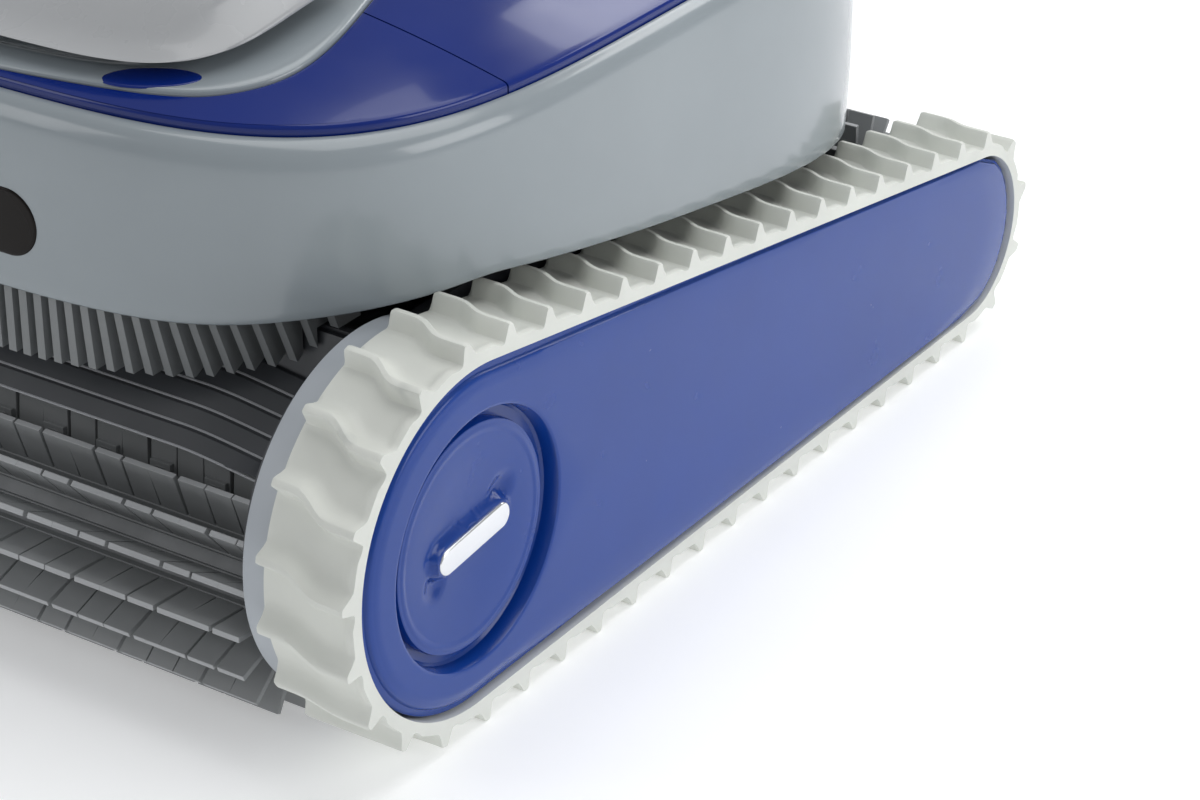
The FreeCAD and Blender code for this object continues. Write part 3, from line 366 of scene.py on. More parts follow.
def make_belt(name, side):
    """The belt: a band whose cleats swing in an S across its width, with lugs at its outer edge."""
    pitch = TRACK_LENGTH / CLEATS
    # steep on the side that leads along the top run, sloping away behind
    profile = [(-0.5, 0), (-0.40, 0.01), (-0.32, 0.06), (-0.24, 0.2), (-0.17, 0.47), (-0.12, 0.74),
               (-0.085, 0.93), (-0.06, 1), (0, 1), (0.02, 0.99), (0.035, 0.92), (0.05, 0.7),
               (0.075, 0.3), (0.095, 0.07), (0.125, 0), (0.2, 0), (0.34, 0)]
    # places across the width, closer together at the rounded edges and the lugs
    shares = [0, 0.012, 0.03, 0.06, 0.12, 0.19, 0.26, 0.33, 0.40, 0.47, 0.54, 0.61, 0.68, 0.75, 0.82,
              0.875, 0.905, 0.925, 0.95, 0.975, 1.0]
    lowest_y, highest_y = [1000 * corner[1] for corner in cad_box]
    margin = 0.02
    rings = []
    for cleat in range(CLEATS):
        for offset, rise in profile:
            ring = []
            for share in shares:
                # S swing: nearly level at both edges, moving on along the belt in the middle
                swing = 0.03 * (share - 0.5) - 0.14 * math.cos(math.pi * smooth_step(share, 0.18, 0.82))
                edge = smooth_step(share, 0.0, 0.035)
                lug = 0.16 * smooth_step(share, 0.88, 0.93) * (1 if abs(offset) > 0.3 else 0)
                height = BELT_BASE + CLEAT * max(rise * edge, lug)
                height -= 0.35 * smooth_step(share, 0.985, 1.0)
                place = -FRONT_Y + (cleat + offset + swing) * pitch
                y, z = track_point(place, height)
                y = min(max(y, lowest_y + margin), highest_y - margin)
                z = max(z, margin)
                ring.append((side * (BELT_INNER + share * (BELT_OUTER - BELT_INNER)), y, z))
            place = -FRONT_Y + (cleat + offset) * pitch
            y, z = track_point(place, 0.0)
            ring.append((side * BELT_OUTER, y, z))
            ring.append((side * BELT_INNER, y, z))
            rings.append(ring)
    count = len(shares) + 2
    mesh_piece("tread_" + name, joined(rings), ring_faces(len(rings), count, wrap_rings=True), "chassis",
               ("track_belt_" + name,), TRACK_RUBBER, angle=38)


for side_name, side in SIDES.items():
    make_belt(side_name, side)


# ---------------------------------------------------------------- upper body surfaces
def squared_radius(wide, long, square, angle):
    """Distance from the middle to a squared oval, in a direction."""
    across, along = abs(math.cos(angle)), abs(math.sin(angle))
    return ((across / wide) ** square + (along / long) ** square) ** (-1 / square)


def oval_point(wide, long, front_square, rear_square, turn):
    """A point of a squared oval whose corners can be squarer at the rear than at the front."""
    across, along = math.cos(turn), math.sin(turn)
    square = front_square + (rear_square - front_square) * (1 + along) / 2
    return (wide * math.copysign(abs(across) ** (2 / square), across),
            long * math.copysign(abs(along) ** (2 / square), along))


def smooth_between(places, values, place):
    """Piecewise cubic through the values (Catmull-Rom with uneven spacing)."""
    place = min(max(place, places[0]), places[-1])
    index = min(max(sum(1 for item in places if item <= place) - 1, 0), len(places) - 2)

    def slope(at):
        low, high = max(at - 1, 0), min(at + 1, len(places) - 1)
        return (values[high] - values[low]) / (places[high] - places[low])

    run = places[index + 1] - places[index]
    share = (place - places[index]) / run
    return ((2 * share ** 3 - 3 * share ** 2 + 1) * values[index]
            + (share ** 3 - 2 * share ** 2 + share) * run * slope(index)
            + (3 * share ** 2 - 2 * share ** 3) * values[index + 1]
            + (share ** 3 - share ** 2) * run * slope(index + 1))


def top_oval(wide, long, turn):
    return oval_point(wide, long, TOP_SQUARE, TOP_SQUARE, turn)


# height, how far the wall leans in across and along, and how square its front and rear are
SHELL_LEVELS = [(92.0, 0.0, 1.0, 2.9, 3.7), (135.0, 0.0, 0.0, 3.1, 3.8), (170.0, 2.5, 0.0, 3.5, 3.9),
                (197.0, 5.0, 1.5, 3.9, 3.9), (206.0, 9.0, 6.0, 3.9, 3.9)]


def shell_point(turn, height, inset=0.0):
    """A point of the shell's wall; between the levels its size follows a smooth curve."""
    heights = [level[0] for level in SHELL_LEVELS]
    values = []
    for column in range(1, 5):
        values.append(smooth_between(heights, [level[column] for level in SHELL_LEVELS], height))
    wide, long = SHELL_WIDE - inset - values[0], SHELL_LONG - inset - values[1]
    return oval_point(wide, long, values[2], values[3], turn)


BELT_TOP_Z = FRONT_Z + (FRONT_LOOP + BELT_BASE + CLEAT) / math.sin(TOP_ANGLE)
RUN_FALL = math.tan(2 * AXLE_SLOPE)


def over_belt(y, clearance):
    """A place of the shell's lower edge, held clear of the belt's top run."""
    return (y, BELT_TOP_Z + RUN_FALL * (y - FRONT_Y) + clearance)


# y and height of the shell's lower edge, from front to rear
SKIRT = [(-205, 136.0), (-190, 136.6), (-168, 141.5), (-140, 145.2), over_belt(-108, 4.6),
         over_belt(0, 4.6), over_belt(110, 4.6), over_belt(160, 5.0), (182, 101.5), (205, 103.0)]


def make_shell():
    """The grey upper shell: an open wall whose top edge rolls inwards round the blue covers."""
    count = 360
    turns = [2 * math.pi * (index + 0.5) / count for index in range(count)]
    rings = []
    bottoms = []
    for turn in turns:
        y = shell_point(turn, 130)[1]
        bottoms.append(smooth_between([item[0] for item in SKIRT], [item[1] for item in SKIRT], y))

    def ring(height_of, inset):
        row = []
        for turn, bottom in zip(turns, bottoms):
            height = height_of(bottom)
            x, y = shell_point(turn, min(height, SHELL_TOP), inset)
            row.append((x, y, height))
        rings.append(row)

    # inside of the wall, then the lower edge, the outer wall and the rolled rim
    ring(lambda low: 199.0, 3.6)
    ring(lambda low: 170.0, 3.0)
    ring(lambda low: low + 1.2, 3.0)
    ring(lambda low: low + 0.25, 2.6)
    ring(lambda low: low, 1.6)
    ring(lambda low: low + 0.2, 0.5)
    ring(lambda low: low + 0.9, 0.0)
    for step in range(1, 17):
        ring(lambda low, share=step / 16: low + 0.9 + (196.0 - low - 0.9) * share, 0.0)
    rim_wide, rim_long, rim_foot = SHELL_WIDE - 5.0, SHELL_LONG - 1.6, 196.4
    for angle in (12, 25, 38, 50, 62, 74, 84, 90):
        swing = math.radians(angle)
        inward, rise = 7.0 * (1 - math.cos(swing)), 9.6 * math.sin(swing)
        rings.append([(*top_oval(rim_wide - inward, rim_long - inward * 1.1, turn), rim_foot + rise)
                      for turn in turns])
    gap = 0.55
    for height in (205.9, 205.0, 200.0, 199.0):
        rings.append([(*top_oval(CROWN_WIDE + gap, CROWN_LONG + gap, turn), height) for turn in turns])
    faces = ring_faces(len(rings), count, wrap_rings=True)
    mesh_piece("shell_skin", joined(rings), faces, "chassis", ("upper_shell",), SHELL_GREY, angle=50)


def crown_height(x, y):
    """Height of the domed top, which falls away towards the rim."""
    share = ((abs(x) / CROWN_WIDE) ** TOP_SQUARE + (abs(y) / CROWN_LONG) ** TOP_SQUARE) ** (1 / TOP_SQUARE)
    return CROWN_EDGE + CROWN_RISE * (1 - min(share, 1.0) ** 2)


# right half of the middle deck's outline, from the front to the rear
DECK_HALF = [(0, -186), (34, -185), (73, -180), (98, -174), (114, -165), (125, -149), (127, -128),
             (121, -98), (108, -58), (88, -20), (56, 10), (20, 23)]


def deck_ring(grow, count):
    """Points round the middle deck's smooth outline, moved outwards by grow."""
    corners = DECK_HALF + [(-x, y) for x, y in reversed(DECK_HALF[1:])]
    total = len(corners)
    line = []
    for index in range(total):
        before, start, end, after = [Vector(corners[(index + step) % total]) for step in (-1, 0, 1, 2)]
        for part in range(24):
            share = part / 24
            line.append(0.5 * (2 * start + (end - before) * share
                               + (2 * before - 5 * start + 4 * end - after) * share ** 2
                               + (3 * start - before - 3 * end + after) * share ** 3))
    moved = [point + (point - Vector((0, -80))).normalized() * grow for point in line]
    lengths = [0.0]
    for before, after in zip(moved, moved[1:] + moved[:1]):
        lengths.append(lengths[-1] + (after - before).length)
    ring = []
    index = 0
    for step in range(count):
        target = lengths[-1] * step / count
        while lengths[index + 1] < target:
            index += 1
        share = (target - lengths[index]) / (lengths[index + 1] - lengths[index])
        ring.append(moved[index].lerp(moved[(index + 1) % len(moved)], share))
    return ring


def crossing(ring, start, direction):
    """Furthest distance from start, along direction, at which the closed ring is met."""
    best = 0.0
    for before, after in zip(ring, ring[1:] + ring[:1]):
        edge = after - before
        bottom = direction.x * edge.y - direction.y * edge.x
        if abs(bottom) < 1e-12:
            continue
        gap = before - start
        share = (gap.x * direction.y - gap.y * direction.x) / bottom
        distance = (gap.x * edge.y - gap.y * edge.x) / bottom
        if 0 <= share <= 1:
            best = max(best, distance)
    return best


def make_cover(name, body, node, low_angle, high_angle, seam_shift, rear_limit, material):
    """One blue cover: from the deck's outline out to the rim, on one side of the seam."""
    rays, steps, wall = 220, 22, 2.5
    start = Vector((0, SEAM_Y + seam_shift))
    deck = deck_ring(0.5, 400)
    top = []
    for ray in range(rays + 1):
        share = ray / rays
        angle = math.radians(low_angle + (high_angle - low_angle) * share)
        direction = Vector((math.cos(angle), math.sin(angle)))
        inner = crossing(deck, start, direction)
        outer = inner
        for _ in range(40):
            spot = start + direction * outer
            reach = squared_radius(CROWN_WIDE, CROWN_LONG, TOP_SQUARE, math.atan2(spot.y, spot.x))
            outer += (reach - spot.length) * 0.9
        if rear_limit and direction.y > 0.2:
            outer = min(outer, (rear_limit - start.y) / direction.y)
        row = []
        for depth, drop in ((0.0, wall), (0.0, 0.5), (0.15, 0.15), (0.5, 0.0)):
            spot = start + direction * (inner + depth)
            row.append((spot.x, spot.y, crown_height(spot.x, spot.y) - drop))
        for step in range(1, steps):
            spot = start + direction * (inner + (outer - inner) * (step / steps))
            row.append((spot.x, spot.y, crown_height(spot.x, spot.y)))
        for depth, drop in ((1.6, 0.02), (0.8, 0.2), (0.25, 0.65), (0.0, 1.3), (0.0, 5.2), (2.2, 5.4)):
            spot = start + direction * (outer - depth)
            row.append((spot.x, spot.y, crown_height(spot.x, spot.y) - drop))
        spot = start + direction * (outer - 3.0)
        row.append((spot.x, spot.y, crown_height(spot.x, spot.y) - wall))
        under = start + direction * ((inner + outer) / 2)
        row.append((under.x, under.y, crown_height(under.x, under.y) - wall))
        top.append(row)
    columns = len(top[0])
    points = joined(top)
    faces = ring_faces(len(top), columns)
    faces.append(tuple(range(columns)))
    faces.append(tuple(rays * columns + column for column in reversed(range(columns))))
    mesh_piece(name, points, faces, body, (node,), material, angle=40)


def cylinder_piece(name, start, end, radius, body, material):
    """A turned rod with softened ends between two points."""
    count, round_edge = 40, 0.4
    first, last = Vector(start), Vector(end)
    along = (last - first).normalized()
    side = along.orthogonal().normalized()
    other = along.cross(side)
    stations = [(0.0, radius - round_edge), (round_edge * 0.3, radius - round_edge * 0.3),
                (round_edge, radius)]
    length = (last - first).length
    stations += [(length - place, size) for place, size in reversed(stations)]
    points = []
    for place, size in stations:
        for angle in full_circle(count):
            points.append(first + along * place + side * size * math.cos(angle)
                          + other * size * math.sin(angle))
    faces = ring_faces(len(stations), count)
    last = (len(stations) - 1) * count
    faces += [tuple(reversed(range(count))), tuple(last + index for index in range(count))]
    mesh_piece(name, points, faces, body, material=material)


make_shell()
make_cover("cover_front", "chassis", "front_cover", 180.0, 360.0, -0.35, None, TOP_BLUE)
make_cover("lid_rear", "filter_lid", "filter_lid", 0.0, 180.0, 0.35, LID_REAR_Y, TOP_BLUE)
HINGE_Y, HINGE_Z = joint_place("filter_lid_hinge")[1:]
KNUCKLE_X, KNUCKLE_HALF, KNUCKLE_RADIUS = 60, 11, 2.95
for side_name, side in SIDES.items():
    ends = [(side * KNUCKLE_X + reach, HINGE_Y, HINGE_Z) for reach in (-KNUCKLE_HALF, KNUCKLE_HALF)]
    cylinder_piece("lid_knuckle_" + side_name, *ends, KNUCKLE_RADIUS, "filter_lid", DARK_PLASTIC)


# ---------------------------------------------------------------- middle deck and handle
def deck_height(x, y):
    """The deck's surface: raised a little over the crown, and dished under the handle's front."""
    recess_y, wide, long, deep = -160, 96, 17, 5.5
    share = (x / wide) ** 2 + ((y - recess_y) / long) ** 2
    return crown_height(x, y) + 1.5 - deep * (1 - smooth_step(share, 0.0, 1.0))


def make_deck():
    """The grey middle deck, from its outline in to the hole of the outlet."""
    count, steps = 240, 46
    edge, hole = 1.4, OUTLET_RADIUS + 0.3
    outline = deck_ring(0.0, count)
    middle = Vector((0, OUTLET_Y))
    rings = []
    rings.append([(point.x, point.y, crown_height(point.x, point.y) - 2.0) for point in outline])
    for inward, drop in ((0.0, 1.3), (0.15, 0.7), (0.6, 0.2), (edge, 0.0)):
        ring = []
        for point in outline:
            spot = point + (middle - point).normalized() * inward
            ring.append((spot.x, spot.y, deck_height(spot.x, spot.y) - drop))
        rings.append(ring)
    for step in range(1, steps + 1):
        ring = []
        for point in outline:
            start = point + (middle - point).normalized() * edge
            stop = middle + (point - middle).normalized() * hole
            spot = start.lerp(stop, step / steps)
            ring.append((spot.x, spot.y, deck_height(spot.x, spot.y)))
        rings.append(ring)
    for drop, inward in ((3.2, 0.0), (3.2, 3.0)):
        ring = []
        for point in outline:
            spot = middle + (point - middle).normalized() * (hole + inward)
            ring.append((spot.x, spot.y, deck_height(spot.x, spot.y) - drop))
        rings.append(ring)
    faces = ring_faces(len(rings), count, wrap_rings=True)
    mesh_piece("deck_skin", joined(rings), faces, "chassis", ("middle_deck",), SHELL_GREY, angle=42)


make_deck()


def make_handle():
    """The carrying handle: a rounded bar bent into a U, its arms ending round the pins."""
    outer_wide, outer_long, outer_square = 121.0, 84.0, 4.2
    inner_wide, inner_long, inner_square = 80.4, 38.4, 5.0
    cap_steps, cap_spacing = 5, 1.2
    pin_y = joint_place("carry_handle_hinge")[1]
    steps, count = 96, 36
    rings = []
    for step in range(-cap_steps, steps + cap_steps + 1):
        share = min(1.0, max(0.0, step / steps))
        past = max(0, -step, step - steps)
        turn = math.pi * share
        across, along = math.cos(turn), math.sin(turn)
        outer = Vector((outer_wide * math.copysign(abs(across) ** (2 / outer_square), across),
                        pin_y - outer_long * along ** (2 / outer_square)))
        inner = Vector((inner_wide * math.copysign(abs(across) ** (2 / inner_square), across),
                        pin_y - inner_long * along ** (2 / inner_square)))
        middle, half = (outer + inner) / 2, (outer - inner) / 2
        shrink = math.sqrt(max(0.0, 1 - (past / cap_steps) ** 2)) if past else 1.0
        shrink = max(shrink, 0.05)
        ring = []
        for angle in full_circle(count):
            wide, high = math.cos(angle), math.sin(angle)
            spot = middle + half * math.copysign(abs(wide) ** 0.62, wide)
            front = smooth_step(-spot.y, -pin_y + 4, -pin_y + 82)
            top = 242.9 - 22.5 * front ** 2.1
            low = 229.8 - 9.6 * front
            centre, reach = (top + low) / 2, (top - low) / 2
            height = centre + reach * shrink * math.copysign(abs(high) ** 0.75, high)
            if wide > 0:
                climb = wide ** 0.62 * (height - low) / (top - low)
                spot = Vector((spot.x * (1 - 0.20 * climb), spot.y + 3.0 * climb))
            ring.append((spot.x, spot.y + past * cap_spacing, height))
        rings.append(ring)
    faces = ring_faces(len(rings), count)
    last = (len(rings) - 1) * count
    faces += [tuple(range(count)), tuple(last + index for index in range(count))]
    mesh_piece("handle_bar", joined(rings), faces, "carry_handle", ("carry_handle",), SILVER_PLASTIC, angle=60)


def outward_reach(node, side):
    """How far from the middle plane a node's inner and outer faces are."""
    low, high = node_box(node)
    return (low[0], high[0]) if side > 0 else (-high[0], -low[0])


def make_side_panel(name, side):
    """The side cover: a crowned plate with a stepped edge and a dished ring round the hub cap."""
    node = "side_panel_" + name
    back, face = outward_reach(node, side)
    centre = Vector((FRONT_Y + 2.0, FRONT_Z - 1.0))
    front_reach, rear_reach = FRONT_LOOP - PANEL_GAP, REAR_LOOP - PANEL_GAP
    recess_floor = 208.0
    crown_inset, crown_drop, ring_reach = 5.5, 0.6, 48.6
    circles = 60
    directions = [Vector((math.cos(turn), math.sin(turn))) for turn in full_circle(360)]
    # how far the panel reaches each way: the outline round a row of circles from wheel to idler
    boundary = []
    for direction in directions:
        reach = 0.0
        for step in range(circles):
            share = step / (circles - 1)
            middle = Vector((FRONT_Y + WHEELBASE * share, FRONT_Z + (REAR_Z - FRONT_Z) * share))
            radius = front_reach + (rear_reach - front_reach) * share
            gap = centre - middle
            inside = gap.dot(direction) ** 2 - gap.length_squared + radius ** 2
            if inside >= 0:
                reach = max(reach, -gap.dot(direction) + math.sqrt(inside))
        boundary.append(reach)
    profile = [(0.0, back), (0.0, face - 3.4), (0.3, face - 2.9), (0.9, face - 2.6), (2.3, face - 2.45),
               (2.7, face - 2.3), (3.3, face - 1.35), (4.0, face - 0.85), (crown_inset, face - crown_drop)]
    crown_steps = 16
    rings = []
    for inset, height in profile:
        ring = []
        for direction, reach in zip(directions, boundary):
            spot = centre + direction * (reach - inset)
            ring.append((side * height, spot.x, spot.y))
        rings.append(ring)
    for step in range(1, crown_steps + 1):
        share = step / crown_steps
        rise = crown_drop * (1 - (1 - min(share * 3.0, 1.0)) ** 2)
        ring = []
        for direction, edge in zip(directions, boundary):
            start = edge - crown_inset
            spot = centre + direction * (start + (ring_reach - start) * share)
            ring.append((side * (face - crown_drop + rise), spot.x, spot.y))
        rings.append(ring)
    recess = [(48.0, face - 0.1), (47.4, face - 0.5), (47.0, face - 1.4), (46.4, recess_floor + 1.0),
              (45.4, recess_floor + 0.2), (44.0, recess_floor), (30.0, recess_floor), (6.0, recess_floor),
              (6.0, back)]
    for reach, height in recess:
        ring = []
        for direction in directions:
            spot = centre + direction * reach
            ring.append((side * height, spot.x, spot.y))
        rings.append(ring)
    faces = ring_faces(len(rings), len(directions), wrap_rings=True)
    mesh_piece("side_cover_" + name, joined(rings), faces, "chassis", (node,), SIDE_BLUE, angle=28)


def cap_height(along, across, face):
    """Height of the hub cap at a place measured along its grip bar and across it."""
    radius = math.hypot(along, across)
    lip = face - 0.25 * smooth_step(radius, 39.2, 40.2) - 1.6 * smooth_step(radius, 41.2, 42.0) ** 2
    dish = 1.9 * (1 - smooth_step(radius, 8.0, 39.0)) + 0.35 * (1 - smooth_step(radius, 37.2, 38.4))
    reach = math.hypot(max(abs(along) - 15.5, 0.0), across)
    grip = 2.9 * (1 - smooth_step(reach, 5.4, 8.2))
    dimple = 0.0
    for end in (-1, 1):
        distance = math.hypot((along - end * 20.0) / 1.1, across - end * 7.4)
        dimple = max(dimple, 1.7 * (1 - smooth_step(distance, 1.5, 7.5)))
    return lip - dish + grip - dimple * (1 - smooth_step(8.2 - reach, 0.0, 2.8))


CAP_TILT = math.radians(6.0)


def on_cap(along, across):
    """(y, z) of a place on the hub cap, measured along its tilted grip bar and across it."""
    return (FRONT_Y + along * math.cos(CAP_TILT) - across * math.sin(CAP_TILT),
            FRONT_Z + along * math.sin(CAP_TILT) + across * math.cos(CAP_TILT))


def make_hub_cap(name, side):
    """The turning disc over the hub, with a grip bar across its dish."""
    node = "hub_cap_" + name
    back = outward_reach(node, side)[0]
    face, rim_radius = 212.6, 41.9
    count = 240
    radii = [1.5 * step for step in range(1, 25)]
    radii += [36.8, 37.4, 38.0, 38.6, 39.2, 39.8, 40.3, 40.8, 41.2, 41.5, 41.75, 41.92]
    points = [(side * cap_height(0, 0, face), FRONT_Y, FRONT_Z)]
    for radius in radii:
        for turn in full_circle(count):
            along, across = radius * math.cos(turn), radius * math.sin(turn)
            points.append((side * cap_height(along, across, face), *on_cap(along, across)))
    for turn in full_circle(count):
        points.append((side * back, *around(FRONT_Y, FRONT_Z, rim_radius, turn)))
    faces = [(0, 1 + index, 1 + (index + 1) % count) for index in range(count)]
    faces += [tuple(1 + corner for corner in face) for face in ring_faces(len(radii) + 1, count)]
    faces.append(tuple(1 + len(radii) * count + index for index in range(count)))
    mesh_piece("hub_disc_" + name, points, faces, node, (node,), SIDE_BLUE, angle=40)


def make_badge(name, side):
    """The bright pill on the hub cap's grip bar."""
    node = "hub_badge_" + name
    foot, peak = outward_reach(node, side)
    half_length, radius, count = 15.3, 4.9, 64
    rings = []
    for inset, height in ((0.0, foot), (0.0, peak - 0.7), (0.12, peak - 0.35), (0.45, peak - 0.1),
                          (0.9, peak), (4.2, peak)):
        ring = []
        for turn in full_circle(count):
            along = math.copysign(half_length, math.cos(turn)) + (radius - inset) * math.cos(turn)
            across = (radius - inset) * math.sin(turn)
            ring.append((side * height, *on_cap(along, across)))
        rings.append(ring)
    last = (len(rings) - 1) * count
    faces = ring_faces(len(rings), count)
    faces += [tuple(range(count)), tuple(last + index for index in range(count))]
    mesh_piece("grip_badge_" + name, joined(rings), faces, "hub_cap_" + name,
               (node,), CHROME, angle=50)


def make_window():
    """A smoked pane let into the middle of the shell's front, following its curve."""
    columns, half_wide, low, high = 96, 57.6, 149.4, 174.6
    radius = (high - low) / 2
    rings = []
    for inset, depth in ((0.0, 2.0), (0.0, -0.15), (0.35, -0.45), (1.1, -0.5), (5.0, -0.5), (9.0, -0.5),
                         (12.4, -0.5)):
        ring = []
        for index in range(columns):
            turn = 2 * math.pi * (index + 0.5) / columns
            x = math.copysign(half_wide - radius, math.cos(turn)) + (radius - inset) * math.cos(turn)
            z = (low + high) / 2 + (radius - inset) * math.sin(turn)
            # halve the front of the oval until the direction that passes through x is found
            low_turn, high_turn = -math.pi, 0.0
            for _ in range(40):
                turn = (low_turn + high_turn) / 2
                if shell_point(turn, z)[0] < x:
                    low_turn = turn
                else:
                    high_turn = turn
            ring.append((x, shell_point(low_turn, z)[1] + depth, z))
        rings.append(ring)
    faces = ring_faces(len(rings), columns)
    last = (len(rings) - 1) * columns
    half = columns // 2
    for index in range(half - 1):
        opposite = columns - 1 - index
        faces.append((last + index, last + index + 1, last + opposite - 1, last + opposite))
    mesh_piece("window_pane", joined(rings), faces, "chassis", ("front_window",),
               WINDOW_DARK, angle=50)


def make_shroud():
    """The dark front slats: stepped across, sweeping down towards the wheels, with pale strips on the step
    edges as painted highlights.
    """
    box_low, box_high = node_box("front_shroud")
    steps, columns = 5, 81
    low_z, high_z, top_z, near_y, far_y, foot_y = 86.5, 112.0, 128.6, -187.0, -155.0, -181.0
    profile = [(box_high[1], box_low[2] + 0.2), (foot_y, box_low[2] + 0.2)]
    highlight_strips = []
    for step in range(steps):
        low, high = [low_z + (high_z - low_z) * (step + part) / steps for part in (0, 1)]
        near, far = [near_y + (far_y - near_y) * (step + part) / steps for part in (0, 0.75)]
        profile += [(near + 0.5, low), (near, low + 0.5), (far, high)]
        highlight_strips.append((near, low + 0.1))
    profile += [(far_y, high_z), (far_y + 0.8, top_z), (box_high[1], top_z)]
    half = box_high[0]

    def sweep(x):
        """How far the slats have come down at a place across the front."""
        return 4.5 * smooth_step(abs(x), half - 62, half - 8)

    rings = []
    for column in range(columns):
        x = -half + 2 * half * column / (columns - 1)
        rings.append([(x, y, max(z - (0 if z == top_z else sweep(x)), box_low[2] + 0.1))
                      for y, z in profile])
    count = len(profile)
    last = (columns - 1) * count
    faces = ring_faces(columns, count)
    faces += [tuple(reversed(range(count))), tuple(last + index for index in range(count))]
    mesh_piece("shroud_slats", joined(rings), faces, "chassis", ("front_shroud",),
               DARK_PLASTIC, angle=30)
    # thin pale strips along each step edge: painted highlights where light catches the slats
    points, faces = [], []
    for near, height in highlight_strips:
        first = len(points)
        for column in range(columns):
            x = (-half + 2 * half * column / (columns - 1)) * 0.998
            fall = sweep(x)
            points += [(x, near - 0.12, height - fall), (x, near - 0.12, height + 0.55 - fall),
                       (x, near + 0.3, height + 0.75 - fall), (x, near + 0.3, height - fall)]
        faces += [tuple(first + index for index in face) for face in ring_faces(columns, 4)]
    mesh_piece("slat_edge_painted_highlights", points, faces, "chassis", material=SLAT_EDGE_PAINTED_HIGHLIGHT, angle=60)


def make_deck_pocket(name, side):
    """A small blue oval let into the front corner of the middle deck."""
    middle_x, middle_y, half_long, half_wide, tilt = 88.0, -170.5, 17.0, 5.6, 0.42
    count = 48
    rings = []
    for share, rise in ((1.06, -0.4), (1.0, 0.12), (0.9, 0.16), (0.5, 0.16), (0.1, 0.16)):
        ring = []
        for turn in full_circle(count):
            along, across = half_long * share * math.cos(turn), half_wide * share * math.sin(turn)
            x = middle_x + along * math.cos(tilt) - across * math.sin(tilt)
            y = middle_y + along * math.sin(tilt) + across * math.cos(tilt)
            ring.append((side * x, y, deck_height(x, y) + rise))
        rings.append(ring)
    last = (len(rings) - 1) * count
    faces = ring_faces(len(rings), count) + [tuple(last + index for index in range(count))]
    mesh_piece("deck_pocket_" + name, joined(rings), faces, "chassis",
               material=TOP_BLUE, angle=60)


def make_frame_plate(name, side):
    """The upright plate beside the wheels, kept inside the track's loop."""
    front_radius, rear_radius, thick, count = 61, 31, 3.9, 120
    edge_high = outward_reach("side_frame_" + name, side)[1] - 0.05
    outline = []
    for turn in full_circle(count):
        if math.pi / 2 < turn < 1.5 * math.pi:
            outline.append(around(FRONT_Y, FRONT_Z, front_radius, turn))
        else:
            outline.append(around(REAR_Y, REAR_Z, rear_radius, turn))
    rings = [[(side * x, y, z) for y, z in outline] for x in (edge_high - thick, edge_high)]
    faces = ring_faces(2, count) + [tuple(range(count)), tuple(count + index for index in range(count))]
    mesh_piece("frame_plate_" + name, joined(rings), faces, "chassis", ("side_frame_" + name,),
               DARK_PLASTIC, angle=40)


def make_rear_guard():
    """The ledge behind the tub that keeps the rear brush clear of the shell."""
    low, high = node_box("rear_shroud")
    half, front, back = high[0] - 0.3, low[1] + 0.2, low[1] + 22.0
    corners = [(front, 93.4), (back, 92.0), (back + 2.0, 94.0), (front, 98.6)]
    rings = [[(x, y, z) for y, z in corners] for x in (-half, half)]
    faces = ring_faces(2, 4) + [(0, 1, 2, 3), (7, 6, 5, 4)]
    mesh_piece("rear_guard", joined(rings), faces, "chassis", ("rear_shroud",), DARK_PLASTIC, smooth=False)


make_rear_guard()
for side_name, side in SIDES.items():
    make_frame_plate(side_name, side)
make_window()
make_shroud()
for side_name, side in SIDES.items():
    make_deck_pocket(side_name, side)
make_handle()
for side_name, side in SIDES.items():
    make_side_panel(side_name, side)
    make_hub_cap(side_name, side)
    make_badge(side_name, side)


# ---------------------------------------------------------------- brushes
def box_points(origin, along, out, across, lengths):
    """Eight corners of a slab that stands on its origin: four at its foot, then four at its free end."""
    corners = []
    for far in (0, 1):
        for wide, thick in ((-1, -1), (1, -1), (1, 1), (-1, 1)):
            corners.append(origin + out * (lengths[1] * far) + along * (wide * lengths[0] / 2)
                           + across * (thick * lengths[2] / 2))
    return corners


def slab(points, faces, corners):
    """Adds a slab's corners and faces to those of a larger mesh."""
    first = len(points)
    points += [tuple(corner) for corner in corners]
    faces += [tuple(first + index for index in face) for face in
              ((0, 3, 2, 1), (4, 5, 6, 7), (0, 1, 5, 4), (1, 2, 6, 5), (2, 3, 7, 6), (3, 0, 4, 7))]


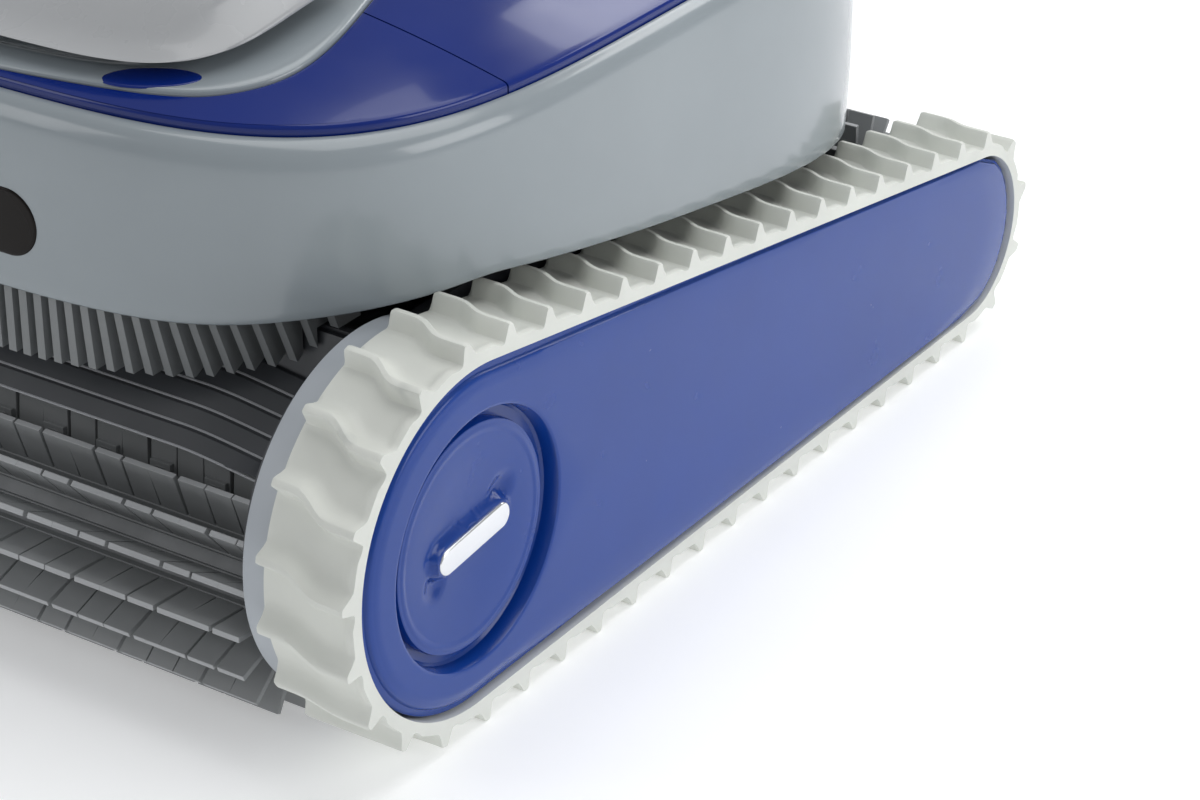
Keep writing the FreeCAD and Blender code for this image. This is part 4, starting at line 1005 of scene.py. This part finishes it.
def make_brush(name, node, body, middle_y, middle_z, lean):
    """A rubber sleeve with rows of leaning tabs, every other tab of one row carrying a small clip."""
    core, rows, clip_row, pitch, tab_wide, thick = 20.0, 16, 3, 12.3, 11.5, 2.2
    clip_size, bar_size, rib_thick, tip_sway = (9.4, 5.6, 2.0), (4.6, 0.5, 0.5), 3.2, 0.6
    count = 96
    points = []
    for x in (-BRUSH_END, BRUSH_END):
        points += [(x, *around(middle_y, middle_z, core, turn)) for turn in full_circle(count)]
    faces = ring_faces(2, count) + [tuple(range(count)), tuple(count + index for index in range(count))]
    mesh_piece(name + "_tube", points, faces, body, (node,), SLEEVE_BAND, angle=40)
    points, faces = [], []
    columns = int(2 * BRUSH_END / pitch)
    start = -columns * pitch / 2 + pitch / 2
    along = Vector((1, 0, 0))
    for row in range(rows):
        turn = 2 * math.pi * (row + 0.5) / rows
        foot = Vector((0, math.cos(turn), math.sin(turn)))
        tangent = Vector((0, -math.sin(turn), math.cos(turn)))
        out = (foot * math.cos(lean) + tangent * math.sin(lean)).normalized()
        across = along.cross(out).normalized()
        # length that brings the leaning tab's tip just inside the brush radius
        half = core * math.cos(lean)
        length = -half + math.sqrt(half * half + (BRUSH_RADIUS - 0.6) ** 2 - core * core)
        for column in range(columns):
            x = start + column * pitch
            origin = Vector((x, middle_y, middle_z)) + foot * (core - 0.6)
            tip_shift = along * (tip_sway * math.sin(1.7 * row + 2.3 * column))
            corners = box_points(origin, along, out, across, (tab_wide, length, thick))
            slab(points, faces, corners[:4] + [corner + tip_shift for corner in corners[4:]])
            if row == clip_row and column % 2 == 0:
                clip = origin + out * (length * 0.42) + across * (thick / 2 + 0.8)
                slab(points, faces, box_points(clip, along, out, across, clip_size))
                for rise in (1.6, 3.4):
                    bar = clip + out * rise + across * 1.0
                    slab(points, faces, box_points(bar, along, out, across, bar_size))
        # low rib at the feet of the row
        rib_foot = Vector((0, middle_y, middle_z)) + foot * (core - 0.8)
        rib_size = (2 * BRUSH_END - 0.6, rib_thick, rib_thick)
        slab(points, faces, box_points(rib_foot, along, out, across, rib_size))
    tabs = mesh_piece(name + "_tabs", points, faces, body, material=BRUSH_RUBBER, smooth=False)
    # the narrow faces at the tabs' tips are paler, worn rubber
    tabs.data.materials.append(TAB_EDGE)
    for polygon in tabs.data.polygons:
        middle = polygon.center / MM
        distance = math.hypot(middle.y - middle_y, middle.z - middle_z)
        if distance > BRUSH_RADIUS - 1.6 and polygon.area < 3e-5:
            polygon.material_index = 1
    bevel = tabs.modifiers.new("soft_edges", "BEVEL")
    bevel.width = 0.35 * MM
    bevel.segments = 2
    bevel.limit_method = "ANGLE"


make_brush("front_brush", "front_brush_sleeve", "front_brush", FRONT_BRUSH_Y, FRONT_BRUSH_Z, math.radians(7))
make_brush("rear_brush", "rear_brush_sleeve", "rear_brush", REAR_Y, REAR_Z, math.radians(-7))
